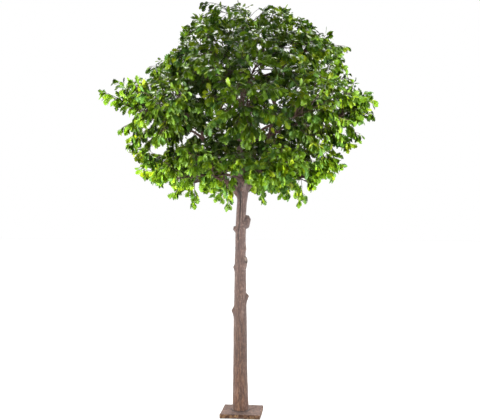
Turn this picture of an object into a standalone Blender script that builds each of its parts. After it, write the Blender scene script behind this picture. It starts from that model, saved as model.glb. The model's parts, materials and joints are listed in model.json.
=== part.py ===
"""Artificial oak tree of display size: a knotted trunk on a square base plate, boughs that fan out from its
fork, and a round crown of leafy twigs.

Metres, +Z up. The origin is the centre of the plate's underside, and X and Y run along the plate's edges.
The tree's broad side is turned a little on the plate. Places on the tree are first given with x to the right
along that broad side, y away from it and z up, and on_plate() turns them into the plate's frame.
"""

import bisect
import math
import random

import bmesh
import bpy
from mathutils import Matrix, Vector
from mathutils.bvhtree import BVHTree

UP = Vector((0, 0, 1))

# The whole tree
TURN = math.radians(6.5)  # of the tree's broad side against the plate's edge
CLEARANCE = 0.0003  # between neighbouring solids

# Base plate
PLATE_SIDE = 0.290
PLATE_THICKNESS = 0.033
PLATE_EDGE_ROUND = 0.004

# Trunk: height above the ground, sideways drift of its axis, radius
TRUNK_LINE = (
    (PLATE_THICKNESS + CLEARANCE, 0.000, 0.0605),
    (0.070, 0.000, 0.0590),
    (0.140, -0.001, 0.0560),
    (0.270, -0.002, 0.0534),
    (0.420, -0.002, 0.0515),
    (0.580, -0.002, 0.0486),
    (0.760, -0.002, 0.0462),
    (0.940, -0.002, 0.0430),
    (1.080, -0.002, 0.0415),
    (1.200, -0.001, 0.0388),
    (1.330, 0.001, 0.0376),
    (1.430, 0.004, 0.0360),
    (1.520, 0.010, 0.0362),
    (1.590, 0.016, 0.0400),
    (1.640, 0.019, 0.0400),
)
TRUNK_TOP = TRUNK_LINE[-1][0]
TRUNK_SHIFT = (-0.011, 0.006)  # of the trunk's foot from the plate's centre

# Stubs of cut branches: height of the cut face's middle, azimuth, its distance from the axis, its radius
STUBS = (
    (0.772, 178, 0.060, 0.020),
    (0.868, -5, 0.058, 0.015),
    (1.075, 184, 0.051, 0.012),
    (1.125, -42, 0.056, 0.019),
    (1.362, 187, 0.045, 0.028),
    (1.430, -8, 0.060, 0.028),
    (0.930, 100, 0.055, 0.019),
    (1.240, 62, 0.050, 0.017),
)
STUB_CLIMB = math.radians(38)
STUB_LENGTH = 0.068
STUB_FLARE = 1.25  # root radius over cut radius
STUB_SIDES = 10

# Main limbs: the root on the trunk's axis, the point that bends the limb, its tip, and the radii of root and tip
LIMBS = {
    "leader": ((0.019, 0.0, TRUNK_TOP), (-0.030, 0.012, 1.95), (0.025, 0.000, 2.44), 0.0300, 0.0100),
    "bough_left": ((0.010, 0.0, 1.560), (-0.175, -0.050, 1.720), (-0.330, -0.060, 2.16), 0.0185, 0.0085),
    "bough_left_inner": ((0.012, 0.0, 1.625), (-0.110, 0.075, 1.860), (-0.215, 0.090, 2.38), 0.0180, 0.0080),
    "bough_right": ((0.016, 0.0, 1.590), (0.205, 0.035, 1.780), (0.265, 0.045, 2.38), 0.0190, 0.0080),
    "bough_front": ((0.014, 0.0, 1.600), (0.050, -0.210, 1.760), (0.060, -0.300, 2.22), 0.0175, 0.0080),
    "bough_back": ((0.014, 0.0, 1.570), (0.030, 0.220, 1.740), (0.060, 0.310, 2.24), 0.0175, 0.0080),
}
LIMB_POINTS = 9

# Rings of foliage masses: how many, azimuth of the first, distance of their middles from the axis, height
RINGS = {
    "low": (7, -12, 0.48, 1.76),
    "middle": (8, 0, 0.64, 2.17),
    "high": (6, 0, 0.43, 2.56),
    "top": (1, 20, 0.04, 2.78),
}

# Boughs that carry one mass each
BOUGH_ROOT_RADIUS = 0.0115
BOUGH_ROOT_SHARE = 0.85  # of the radius of the limb that it leaves, at most
BOUGH_TIP_RADIUS = 0.0075
BOUGH_POINTS = 5
BOUGH_ENTRY = 0.62  # share of the way to the mass's middle at which the bough ends
BOUGH_BEND = (0.30, 0.25)  # of its length, along the limb that it leaves and towards its tip
BOUGH_CLIMB = 0.55  # rise over run that a bough's root is chosen for
CLIMB_WEIGHT = 0.45  # metres of detour that a unit of wrong climb is worth
FORK_SPACING = 0.050  # between the roots of boughs
BOUGH_GAP = 0.010  # between boughs past their roots
SPAN_SAMPLES = 4  # places looked at along each straight span of a limb
NEAR_LIMB = 0.010  # within which a limb is cut clear of another

# Roundness of a tube, as its curve's bevel resolution
TRUNK_ROUND = 5
LIMB_ROUND = 2
BOUGH_ROUND = 1
SHARP_ANGLE = math.radians(50)

# The crown's outline: height, reach of the foliage from the axis on the right side and on the left side
OUTLINE = (
    (1.46, 0.42, 0.36),
    (1.52, 0.47, 0.40),
    (1.60, 0.56, 0.54),
    (1.69, 0.66, 0.74),
    (1.78, 0.73, 0.76),
    (1.87, 0.80, 0.80),
    (1.96, 0.86, 0.84),
    (2.12, 0.97, 0.86),
    (2.25, 0.98, 0.88),
    (2.38, 0.89, 0.86),
    (2.47, 0.84, 0.66),
    (2.56, 0.80, 0.57),
    (2.65, 0.76, 0.49),
    (2.73, 0.62, 0.43),
    (2.82, 0.50, 0.40),
    (2.90, 0.39, 0.28),
    (2.96, 0.18, 0.20),
)
CROWN_BOTTOM = OUTLINE[0][0]
CROWN_TOP = OUTLINE[-1][0]
CROWN_HEART = 2.10  # height of the place on the axis that leaves face away from
CROWN_SHELL = 0.60  # share of the reach inside which no twig ends

# Tips that stand out of the round outline
FURTHEST_TIPS = (
    (-1.025, 0.02, 2.315),
    (-0.930, 0.04, 2.390),
    (-0.900, -0.06, 2.250),
    (1.035, -0.02, 2.255),
    (0.970, 0.05, 2.340),
    (0.960, -0.08, 2.130),
    (0.800, 0.05, 2.660),
    (0.560, 0.00, 2.750),
    (-0.260, 0.00, 2.940),
    (0.400, 0.00, 2.905),
    (-0.885, -0.05, 2.040),
    (0.900, 0.05, 1.960),
    (0.420, -0.05, 1.480),
    (-0.350, -0.03, 1.480),
    (-0.740, 0.05, 1.680),
)
TIP_ROOM = 0.10  # round the line that leads to such a tip
SPIRE = (-0.020, 0.0, 2.990)  # the bare end of the topmost stem

# Room that foliage keeps
CELL_MARGIN = 0.0020  # to the plane half-way to another mass
LIMB_MARGIN = 0.0020  # to limbs and boughs
PLACE_MARGIN = 0.015  # from the end of a twig's leaf to that plane

# Stems and twigs
STEM_RADIUS = 0.0070
STEM_TIP_RADIUS = 0.0040
STEM_SHARE = 0.40  # of the way from the bough's tip to the outline
OUTLINE_STEP = 0.02
TWIG_SIDES = 3
TWIG_RADIUS = 0.0042
TWIG_TIP_RADIUS = 0.0028
TWIGS_PER_STEM = 12
TWIG_TRIES = 30
TWIG_SPREAD = math.radians(50)  # between a stem and its twigs
TWIG_SHORTEST = 0.04
TWIG_ROOTS = (0.06, 0.97)  # shares of the stem between which twigs leave it
DRAWS_PER_TWIG = 160
DRAW_REACH = 0.65  # from the mass's middle
RIM_DEPTH = 0.30  # of the crown, from which places move out to its rim
RIM_STEP = 0.01

# Leaves
LEAF_LENGTH = 0.220
LEAF_SIZES = (1.0, 0.85, 0.70)  # tried in turn where a leaf is too large for its place
LEAF_WIDTH = 0.64  # of its length
LEAF_WIDEST = 0.56  # of its length, from its root
LEAF_THICKNESS = 0.0026
LEAF_FOLD = 0.06  # rise of its edges over the rib, of its length
LEAF_SPACING = 0.105  # along a twig
LEAF_BARE = 0.03  # of a twig's foot
LEAF_SET_BACK = 0.6  # of the spacing, from a twig's tip to the first side leaf
LEAF_SUNK = 0.004  # of the tip leaf's root from the twig's end
LEAF_TRIES = 12
TIP_TRIES = 9
LEAF_JITTER = 0.25
LEAF_AHEAD = 0.55  # against LEAF_ASIDE, the slant of a side leaf on its twig
LEAF_ASIDE = 0.85
LEAF_INSIDE = 0.85  # share of a leaf that stays inside the outline
LEAF_UPWARD = 0.35  # tilt of the faces towards the sky
DROOP = (0.10, 0.45)  # of a leaf high in the crown, and what is added low in it
DROOP_HEIGHTS = (2.60, 0.80)  # where the added droop starts, and the drop over which it grows
SEED = 83


def on_plate(x, y, z):
    """A place on the tree in the plate's frame."""
    turned = Matrix.Rotation(TURN, 3, "Z") @ Vector((x, y, z))
    return turned + Vector((*TRUNK_SHIFT, 0))


def around(azimuth, distance, height):
    """A place on the tree from an azimuth in degrees, counted from the right towards the back."""
    angle = math.radians(azimuth)
    return on_plate(distance * math.cos(angle), distance * math.sin(angle), height)


def from_axis(place):
    """The distance of a place from the tree's axis and the cosine of its azimuth on the tree."""
    x, y = place.x - TRUNK_SHIFT[0], place.y - TRUNK_SHIFT[1]
    distance = max(math.hypot(x, y), CLEARANCE)
    return distance, (x * math.cos(TURN) + y * math.sin(TURN)) / distance


def between(low, value, high):
    return max(low, min(high, value))


# Scene and meshes


def clear_scene():
    for obj in list(bpy.data.objects):
        bpy.data.objects.remove(obj, do_unlink=True)


def new_collection(name):
    made = bpy.data.collections.new(name)
    bpy.context.scene.collection.children.link(made)
    return made


def material(name, colour, roughness):
    made = bpy.data.materials.new(name)
    made.use_nodes = True
    shader = made.node_tree.nodes["Principled BSDF"]
    shader.inputs["Base Color"].default_value = (*colour, 1)
    shader.inputs["Roughness"].default_value = roughness
    shader.inputs["Metallic"].default_value = 0.0
    return made


def new_object(name, data, collection):
    obj = bpy.data.objects.new(name, data)
    collection.objects.link(obj)
    return obj


def finish_object(obj, origin, finish, smooth):
    """Gives an object its own origin, its material and its shading."""
    mesh = obj.data
    mesh.transform(Matrix.Translation(-origin))
    obj.location = origin
    mesh.materials.clear()
    mesh.materials.append(finish)
    if smooth:
        mesh.shade_smooth()
        mesh.set_sharp_from_angle(angle=SHARP_ANGLE)


def apply_modifiers(obj):
    graph = bpy.context.evaluated_depsgraph_get()
    obj.data = bpy.data.meshes.new_from_object(obj.evaluated_get(graph))
    obj.modifiers.clear()


def shell_of(start):
    """All corners that edges join to one corner."""
    shell, front = {start}, [start]
    while front:
        for edge in front.pop().link_edges:
            for vert in edge.verts:
                if vert not in shell:
                    shell.add(vert)
                    front.append(vert)
    return shell


def keep_largest_shell(mesh):
    """Drops loose scraps and the walls of sealed hollows, which are shells of their own."""
    shape = bmesh.new()
    shape.from_mesh(mesh)
    left = set(shape.verts)
    shells = []
    while left:
        shells.append(shell_of(next(iter(left))))
        left -= shells[-1]
    shells.sort(key=len)
    for shell in shells[:-1]:
        bmesh.ops.delete(shape, geom=list(shell), context="VERTS")
    shape.to_mesh(mesh)
    shape.free()


def unite(obj, pieces):
    """Fuses loose pieces to an object with one Boolean on their collection, and removes them."""
    group = new_collection("to_fuse")
    for piece in pieces:
        new_object("piece", piece, group)
    fuse = obj.modifiers.new("fuse", "BOOLEAN")
    fuse.operation = "UNION"
    fuse.operand_type = "COLLECTION"
    fuse.collection = group
    apply_modifiers(obj)
    for piece in list(group.objects):
        bpy.data.objects.remove(piece)
    bpy.data.collections.remove(group)
    keep_largest_shell(obj.data)


def cut(obj, cutters):
    """Takes solids out of an object."""
    for mesh in cutters:
        cutter = new_object("cutter", mesh, bpy.context.scene.collection)
        trim = obj.modifiers.new("cut", "BOOLEAN")
        trim.operation = "DIFFERENCE"
        trim.object = cutter
        apply_modifiers(obj)
        bpy.data.objects.remove(cutter)
    keep_largest_shell(obj.data)


def tube_mesh(points, radii, roundness):
    """A tapering tube as a closed mesh, from a curve with a bevel and filled caps."""
    curve = bpy.data.curves.new("tube", "CURVE")
    curve.dimensions = "3D"
    curve.use_fill_caps = True
    curve.bevel_depth = 1.0
    curve.bevel_resolution = roundness
    spline = curve.splines.new("POLY")
    spline.points.add(len(points) - 1)
    for knot, point, radius in zip(spline.points, points, radii):
        knot.co = (*point, 1)
        knot.radius = radius
    obj = new_object("tube", curve, bpy.context.scene.collection)
    graph = bpy.context.evaluated_depsgraph_get()
    mesh = bpy.data.meshes.new_from_object(obj.evaluated_get(graph))
    bpy.data.objects.remove(obj)
    shape = bmesh.new()
    shape.from_mesh(mesh)
    bmesh.ops.remove_doubles(shape, verts=shape.verts, dist=CLEARANCE / 10)
    bmesh.ops.recalc_face_normals(shape, faces=shape.faces)
    shape.to_mesh(mesh)
    shape.free()
    return mesh


class Piece:
    """A small solid: its mesh, its surface tree and its corners."""

    def __init__(self, name, shape):
        self.mesh = bpy.data.meshes.new(name)
        shape.to_mesh(self.mesh)
        self.tree = BVHTree.FromBMesh(shape)
        self.corners = [vert.co.copy() for vert in shape.verts]
        shape.free()

    def touches(self, trees):
        return any(self.tree.overlap(tree) for tree in trees)


def bar_piece(start, end, start_radius, end_radius, sides=TWIG_SIDES):
    """A straight tapering bar with flat ends."""
    shape = bmesh.new()
    run = end - start
    turned = run.to_track_quat("Z", "Y").to_matrix().to_4x4()
    bmesh.ops.create_cone(
        shape,
        cap_ends=True,
        segments=sides,
        radius1=start_radius,
        radius2=end_radius,
        depth=run.length,
        matrix=Matrix.Translation((start + end) / 2) @ turned,
    )
    return Piece("bar", shape)


def leaf_frame(root, heading, facing, length):
    """Places a leaf of unit length: x along its rib, z up from its face."""
    side = facing.cross(heading).normalized()
    face = heading.cross(side).normalized()
    turn = Matrix((heading, side, face)).transposed().to_4x4()
    return Matrix.Translation(root) @ turn @ Matrix.Scale(length, 4)


def leaf_piece(root, heading, facing, length):
    """A leaf as an eight-faced solid, thick along its rib and sharp at its edges, which are lifted."""
    shape = bmesh.new()
    bmesh.ops.create_uvsphere(shape, u_segments=4, v_segments=2, radius=1.0)
    half_thick = LEAF_THICKNESS / 2 / length
    for vert in shape.verts:
        x, y, z = vert.co
        if abs(y) > abs(x) + abs(z):
            vert.co = (LEAF_WIDEST, y * LEAF_WIDTH / 2, LEAF_FOLD)
        else:
            vert.co = ((1 + z - x) / 2, 0, (z + x) * half_thick)
    bmesh.ops.transform(shape, matrix=leaf_frame(root, heading, facing, length), verts=shape.verts)
    bmesh.ops.recalc_face_normals(shape, faces=shape.faces)
    return Piece("leaf", shape)


# Limbs as lines


class Limb:
    """A tapering limb, as the points and radii along it."""

    def __init__(self, points, radii, roundness):
        self.points = points
        self.radii = radii
        self.roundness = roundness

    @property
    def tip(self):
        return self.points[-1]

    @property
    def heading(self):
        return (self.points[-1] - self.points[-2]).normalized()

    def spans(self):
        return zip(self.points, self.points[1:], self.radii, self.radii[1:])

    def mesh(self, grown=0.0):
        """The limb as a closed mesh, grown by a margin all round and at both ends."""
        points = list(self.points)
        points[0] = points[0] - (points[1] - points[0]).normalized() * grown
        points[-1] = points[-1] + self.heading * grown
        return tube_mesh(points, [radius + grown for radius in self.radii], self.roundness)

    def tree(self):
        """The surface tree of the limb, grown by the room that foliage leaves round it."""
        shape = bmesh.new()
        shape.from_mesh(self.mesh(LIMB_MARGIN))
        made = BVHTree.FromBMesh(shape)
        shape.free()
        return made

    def samples(self):
        """Places close together along the limb, each with the radius there."""
        for a, b, start_radius, end_radius in self.spans():
            for i in range(SPAN_SAMPLES):
                share = i / SPAN_SAMPLES
                yield a.lerp(b, share), start_radius + (end_radius - start_radius) * share
        yield self.points[-1], self.radii[-1]

    def gap_to(self, place):
        """From a place to the limb's surface, about."""
        least = math.inf
        for a, b, start_radius, end_radius in self.spans():
            run = b - a
            share = between(0.0, (place - a).dot(run) / run.length_squared, 1.0)
            radius = start_radius + (end_radius - start_radius) * share
            least = min(least, (place - a - run * share).length - radius)
        return least

    def gap_between(self, other, skip=0):
        """From this limb, past its first samples, to another limb's surface, about."""
        return min(other.gap_to(place) - radius for place, radius in list(self.samples())[skip:])


def bent_limb(root, bend, tip, root_radius, tip_radius, count, roundness):
    """A limb that leaves its root towards one place and ends at another."""
    shares = [i / (count - 1) for i in range(count)]
    points = [root * (1 - t) ** 2 + bend * 2 * t * (1 - t) + tip * t**2 for t in shares]
    radii = [root_radius + (tip_radius - root_radius) * t for t in shares]
    return Limb(points, radii, roundness)


# Base plate and trunk


def make_plate(parts, finish):
    shape = bmesh.new()
    size = Matrix.Diagonal((PLATE_SIDE, PLATE_SIDE, PLATE_THICKNESS, 1))
    bmesh.ops.create_cube(shape, size=1.0, matrix=size)
    mesh = bpy.data.meshes.new("base_plate")
    shape.to_mesh(mesh)
    shape.free()
    plate = new_object("base_plate", mesh, parts)
    plate.location.z = PLATE_THICKNESS / 2
    mesh.materials.append(finish)
    edges = plate.modifiers.new("worn edges", "BEVEL")
    edges.width = PLATE_EDGE_ROUND
    edges.segments = 2


def trunk_limb():
    points = [on_plate(drift, 0, height) for height, drift, _ in TRUNK_LINE]
    return Limb(points, [radius for _, _, radius in TRUNK_LINE], TRUNK_ROUND)


def stub_mesh(height, azimuth, distance, radius):
    """A short cut branch that climbs out of the trunk."""
    tip = around(azimuth, distance, height)
    out = (tip - around(azimuth, 0, height)).normalized()
    heading = out * math.cos(STUB_CLIMB) + UP * math.sin(STUB_CLIMB)
    return bar_piece(tip - heading * STUB_LENGTH, tip, radius * STUB_FLARE, radius, STUB_SIDES).mesh


def make_trunk(trunk, parts, finish):
    obj = new_object("trunk", trunk.mesh(), parts)
    unite(obj, [stub_mesh(*stub) for stub in STUBS])
    finish_object(obj, trunk.points[0], finish, True)


# Limbs and boughs


def main_limbs():
    limbs = {}
    for name, (root, bend, tip, root_radius, tip_radius) in LIMBS.items():
        ends = [on_plate(*place) for place in (root, bend, tip)]
        if name == "leader":
            ends[0] += UP * CLEARANCE
        limbs[name] = bent_limb(*ends, root_radius, tip_radius, LIMB_POINTS, LIMB_ROUND)
    return limbs


def mass_middles():
    """The middle of each foliage mass."""
    middles = {}
    for ring, (count, first, distance, height) in RINGS.items():
        for i in range(count):
            name = f"foliage_{ring}_{i + 1}" if count > 1 else f"foliage_{ring}"
            middles[name] = around(first + 360 * i / count, distance, height)
    return middles


def bough_from(limb, k, middle):
    """A bough from one of a limb's points towards a mass, leaving along the limb and bending out."""
    root = limb.points[k]
    tip = root.lerp(middle, BOUGH_ENTRY)
    along = (limb.points[k + 1] - root).normalized()
    bend = root + along * BOUGH_BEND[0] * (tip - root).length + (tip - root) * BOUGH_BEND[1]
    radius = min(BOUGH_ROOT_RADIUS, limb.radii[k] * BOUGH_ROOT_SHARE)
    return bent_limb(root, bend, tip, radius, BOUGH_TIP_RADIUS, BOUGH_POINTS, BOUGH_ROUND)


def best_bough(middle, limbs, boughs):
    """The bough that climbs to a mass most naturally without meeting another limb or bough."""
    best, least = None, math.inf
    for limb in limbs:
        for k, point in enumerate(limb.points[1:-1], 1):
            way = middle - point
            climb = way.z / max(math.hypot(way.x, way.y), FORK_SPACING)
            cost = way.length + CLIMB_WEIGHT * abs(climb - BOUGH_CLIMB)
            if cost >= least or any((point - other.points[0]).length < FORK_SPACING for other in boughs):
                continue
            bough = bough_from(limb, k, middle)
            others = [other for other in limbs if other is not limb] + boughs
            if all(bough.gap_between(other, SPAN_SAMPLES) > BOUGH_GAP for other in others):
                best, least = bough, cost
    return best


def make_boughs(limbs, middles):
    """One bough to each mass."""
    boughs = {}
    for mass, middle in middles.items():
        boughs[mass] = best_bough(middle, limbs, list(boughs.values()))
    return boughs


def build_limb(name, limb, earlier, parts, finish):
    """A limb as a solid, trimmed where it leaves the limbs made before it."""
    obj = new_object(name, limb.mesh(), parts)
    near = [other for other in earlier if limb.gap_between(other) < NEAR_LIMB]
    cut(obj, [other.mesh(CLEARANCE) for other in near])
    finish_object(obj, limb.points[0], finish, True)
    earlier.append(limb)


# The crown's room


def crown_reach(height, rightness):
    """How far the foliage reaches from the axis at a height, between the right and the left side's reach."""
    if not CROWN_BOTTOM <= height <= CROWN_TOP:
        return 0.0
    k = min(bisect.bisect_right(OUTLINE, (height, math.inf)), len(OUTLINE) - 1)
    (z0, right0, left0), (z1, right1, left1) = OUTLINE[k - 1], OUTLINE[k]
    share = (height - z0) / (z1 - z0)
    right = right0 + (right1 - right0) * share
    left = left0 + (left1 - left0) * share
    return (right + left) / 2 + (right - left) / 2 * rightness


def outward(place):
    """Away from the crown's heart."""
    return (place - on_plate(0, 0, CROWN_HEART)).normalized()


def in_shell(place):
    """Whether a place lies in the crown's outer part."""
    distance, rightness = from_axis(place)
    rise = place.z - CROWN_HEART
    depth = CROWN_TOP - CROWN_HEART if rise > 0 else CROWN_HEART - CROWN_BOTTOM
    return math.hypot(distance / crown_reach(CROWN_HEART, rightness), rise / depth) > CROWN_SHELL


def gap_to_line(place, start, end):
    run = end - start
    share = between(0.0, (place - start).dot(run) / run.length_squared, 1.0)
    return (place - start - run * share).length


class Space:
    """The room that one mass keeps to: inside the crown's outline, nearer to its own middle than to any
    other, and clear of every limb."""

    def __init__(self, own, middles, limb_trees):
        self.middle = middles[own]
        self.others = [middle for name, middle in middles.items() if name != own]
        self.limb_trees = limb_trees
        tips = [on_plate(*tip) for tip in FURTHEST_TIPS]
        self.tips = [tip for tip in tips if self.in_cell(tip)]

    def in_cell(self, place, margin=CELL_MARGIN):
        own = (place - self.middle).length_squared
        for other in self.others:
            past = (place - other).length_squared - own
            if past < 2 * margin * (other - self.middle).length:
                return False
        return True

    def in_crown(self, place):
        distance, rightness = from_axis(place)
        if distance < crown_reach(place.z, rightness):
            return True
        return any(gap_to_line(place, self.middle, tip) < TIP_ROOM for tip in self.tips)

    def takes(self, piece):
        """Whether a piece stays in the room and touches no limb."""
        inside = all(CROWN_BOTTOM < corner.z < CROWN_TOP and self.in_cell(corner) for corner in piece.corners)
        return inside and not piece.touches(self.limb_trees)

    def to_rim(self, place):
        """Moves a place that is near the crown's rim out to it."""
        step = outward(place) * RIM_STEP
        for i in range(int(RIM_DEPTH / RIM_STEP)):
            further = place + step * (i + 1)
            if not self.in_cell(further, PLACE_MARGIN):
                return place
            if not self.in_crown(further):
                return further - step
        return place


# Foliage


def leaf_size(attempt, tries):
    """Leaf lengths from the largest to the smallest over a number of tries."""
    return LEAF_LENGTH * LEAF_SIZES[attempt * len(LEAF_SIZES) // tries]


def droop(place):
    start, depth = DROOP_HEIGHTS
    return DROOP[0] + DROOP[1] * between(0.0, (start - place.z) / depth, 1.0)


class Mass:
    """Foliage that grows from one stem: twigs to places spread through the mass's space, and leaves to both
    sides of each twig and on its tip. What would leave the space, or touch a limb or a leaf, isn't grown."""

    def __init__(self, bough, space, seed, stem_end=None):
        self.space = space
        self.rng = random.Random(seed)
        self.leaves = []
        self.twigs = []
        self.start, self.end = self.stem_line(bough, stem_end or self.stem_end(bough))
        self.stem = bar_piece(self.start, self.end, STEM_RADIUS, STEM_TIP_RADIUS)
        self.reached = [self.start]
        grown = [self.grow_twig(place) for place in space.tips]
        for _ in range(TWIG_TRIES):
            if len(self.reached) < TWIGS_PER_STEM:
                grown.append(self.grow_twig(self.draw_place()))
        for twig in grown:
            if twig:
                self.grow_side_leaves(*twig)

    def stem_end(self, bough):
        """Part of the way from the bough's tip, past the mass's middle, to the crown's outline."""
        middle = self.space.middle
        away = middle - on_plate(0, 0, CROWN_HEART)
        share = 1.0
        while self.space.in_crown(middle + away * share):
            share += OUTLINE_STEP
        return bough.tip.lerp(middle + away * share, STEM_SHARE)

    def stem_line(self, bough, end):
        """The stem's two ends, with its foot just clear of the bough's end face."""
        foot = bar_piece(bough.tip, end, STEM_RADIUS, STEM_TIP_RADIUS)
        lowest = min((corner - bough.tip).dot(bough.heading) for corner in foot.corners)
        shift = bough.heading * (CLEARANCE - lowest)
        return bough.tip + shift, end + shift

    def draw_place(self):
        """A place in the mass's space, as far as chance finds from the stem's foot and the other twigs."""
        best, widest = None, 0.0
        for _ in range(DRAWS_PER_TWIG):
            offset = [self.rng.uniform(-DRAW_REACH, DRAW_REACH) for _ in range(3)]
            place = self.space.middle + Vector(offset)
            if self.space.in_cell(place, PLACE_MARGIN) and self.space.in_crown(place) and in_shell(place):
                gap = min((place - other).length for other in self.reached)
                if gap > widest:
                    best, widest = place, gap
        return best and self.space.to_rim(best)

    def twig_root(self, place):
        """Where on the stem a twig to a place leaves it at the twigs' angle."""
        run = self.end - self.start
        aim = run.normalized()
        along = (place - self.start).dot(aim)
        aside = (place - self.start - aim * along).length
        share = (along - aside / math.tan(TWIG_SPREAD)) / run.length
        return self.start.lerp(self.end, between(TWIG_ROOTS[0], share, TWIG_ROOTS[1]))

    def grow_twig(self, place):
        """A twig with a leaf on its end whose tip is at the place. Where the place is near the stem, the leaf
        grows on the stem itself."""
        if place is None:
            return None
        root = self.twig_root(place)
        way = (place - root).normalized()
        for attempt in range(TIP_TRIES):
            length = leaf_size(attempt, TIP_TRIES)
            heading = (way - UP * droop(place) + self.jitter()).normalized()
            end = place - heading * length
            if min((end - root).length, (place - root).length - length) < TWIG_SHORTEST:
                if self.grow_leaf(root, way, length):
                    self.reached.append(place)
                return None
            twig = bar_piece(root, end, TWIG_RADIUS, TWIG_TIP_RADIUS)
            if not self.space.takes(twig) or twig.touches(leaf.tree for leaf in self.leaves):
                continue
            if self.grow_leaf(end.lerp(root, LEAF_SUNK / (end - root).length), heading, length):
                self.reached.append(place)
                self.twigs.append(twig)
                return root, end, twig
        return None

    def grow_side_leaves(self, root, end, twig):
        """Leaves to either side of a twig by turns, from its tip leaf back to its bare foot."""
        run = end - root
        aim = run.normalized()
        for i in range(int((run.length - LEAF_BARE) / LEAF_SPACING)):
            place = end - aim * LEAF_SPACING * (i + LEAF_SET_BACK)
            across = (outward(place) + UP * LEAF_UPWARD).cross(aim).normalized()
            for attempt in range(LEAF_TRIES):
                side = 1 if (i + attempt) % 2 else -1
                slant = aim * LEAF_AHEAD + across * side * LEAF_ASIDE - UP * droop(place)
                heading = (slant + self.jitter()).normalized()
                if self.grow_leaf(place, heading, leaf_size(attempt, LEAF_TRIES), twig):
                    break

    def jitter(self):
        return Vector([self.rng.uniform(-LEAF_JITTER, LEAF_JITTER) for _ in range(3)])

    def grow_leaf(self, root, heading, length, own_twig=None):
        """A leaf that faces out of the crown, if it finds room."""
        facing = outward(root) + UP * LEAF_UPWARD + self.jitter()
        leaf = leaf_piece(root, heading, facing, length)
        others = [piece.tree for piece in self.leaves + self.twigs if piece is not own_twig]
        inside = self.space.in_crown(root + heading * length * LEAF_INSIDE)
        if not inside or leaf.touches(others) or not self.space.takes(leaf):
            return False
        self.leaves.append(leaf)
        return True

    def build(self, name, parts, finish):
        obj = new_object(name, self.stem.mesh, parts)
        unite(obj, [piece.mesh for piece in self.twigs + self.leaves])
        finish_object(obj, self.start, finish, False)


def main():
    clear_scene()
    parts = new_collection("artificial_oak_tree")
    bark = material("bark", (0.26, 0.17, 0.12), 0.75)
    coating = material("plate_coating", (0.30, 0.21, 0.16), 0.80)
    leaves = material("leaves", (0.10, 0.28, 0.03), 0.45)

    make_plate(parts, coating)
    trunk = trunk_limb()
    make_trunk(trunk, parts, bark)

    limbs = main_limbs()
    made = [trunk]
    for name, limb in limbs.items():
        build_limb(name, limb, made, parts, bark)
    middles = mass_middles()
    boughs = make_boughs(list(limbs.values()), middles)
    for mass, bough in boughs.items():
        build_limb(mass.replace("foliage", "bough"), bough, made, parts, bark)

    limb_trees = [limb.tree() for limb in made]
    for i, name in enumerate(middles):
        space = Space(name, middles, limb_trees)
        stem_end = on_plate(*SPIRE) if name == "foliage_top" else None
        Mass(boughs[name], space, SEED + i, stem_end).build(name, parts, leaves)


main()
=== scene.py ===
"""The dressed artificial oak tree: a trunk and boughs with the relief of bark, twigs that grow on from them
by the solids' rule, sprays of lobed leaves, and a rough-coated base plate.

Metres, +Z up. Places on the tree are first given with x to the right along the tree's broad side, y away
from it and z up, and on_plate() turns them into the frame of the plate.
"""

import bisect
import json
import math
import random

import bmesh
import bpy
import numpy as np
from mathutils import Matrix, Vector, noise

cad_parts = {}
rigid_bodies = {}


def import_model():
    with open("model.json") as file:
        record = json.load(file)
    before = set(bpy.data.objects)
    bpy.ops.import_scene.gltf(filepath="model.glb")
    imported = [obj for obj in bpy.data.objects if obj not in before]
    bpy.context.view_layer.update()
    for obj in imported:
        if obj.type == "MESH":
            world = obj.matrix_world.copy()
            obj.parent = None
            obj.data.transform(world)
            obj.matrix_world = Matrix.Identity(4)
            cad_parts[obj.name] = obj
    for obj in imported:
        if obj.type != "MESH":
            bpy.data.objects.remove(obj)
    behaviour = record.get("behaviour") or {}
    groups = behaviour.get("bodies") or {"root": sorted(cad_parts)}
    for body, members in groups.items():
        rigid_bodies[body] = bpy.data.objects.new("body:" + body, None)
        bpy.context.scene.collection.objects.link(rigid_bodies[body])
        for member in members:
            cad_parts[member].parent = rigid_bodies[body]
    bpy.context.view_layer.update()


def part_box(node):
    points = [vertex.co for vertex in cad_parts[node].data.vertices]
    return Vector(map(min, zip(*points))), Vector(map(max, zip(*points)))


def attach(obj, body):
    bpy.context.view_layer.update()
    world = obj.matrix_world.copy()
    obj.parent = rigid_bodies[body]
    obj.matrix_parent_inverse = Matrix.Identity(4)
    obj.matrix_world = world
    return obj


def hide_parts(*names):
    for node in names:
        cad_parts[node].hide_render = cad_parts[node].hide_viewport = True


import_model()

UP = Vector((0, 0, 1))

# The whole tree
TURN = math.radians(6.5)  # of the tree's broad side against the plate's edge
PLATE_THICKNESS = 0.033
TRUNK_SHIFT = (-0.011, 0.006)  # of the trunk's foot from the plate's centre

# Trunk: height above the ground, sideways drift of its axis, radius
TRUNK_LINE = (
    (PLATE_THICKNESS - 0.003, 0.000, 0.0605),
    (0.070, 0.000, 0.0590),
    (0.140, -0.001, 0.0560),
    (0.270, -0.002, 0.0534),
    (0.420, -0.002, 0.0515),
    (0.580, -0.002, 0.0486),
    (0.760, -0.002, 0.0462),
    (0.940, -0.002, 0.0430),
    (1.080, -0.002, 0.0415),
    (1.200, -0.001, 0.0388),
    (1.330, 0.001, 0.0376),
    (1.430, 0.004, 0.0360),
    (1.520, 0.010, 0.0362),
    (1.590, 0.016, 0.0400),
    (1.640, 0.019, 0.0400),
)
TRUNK_TOP = TRUNK_LINE[-1][0]

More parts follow.
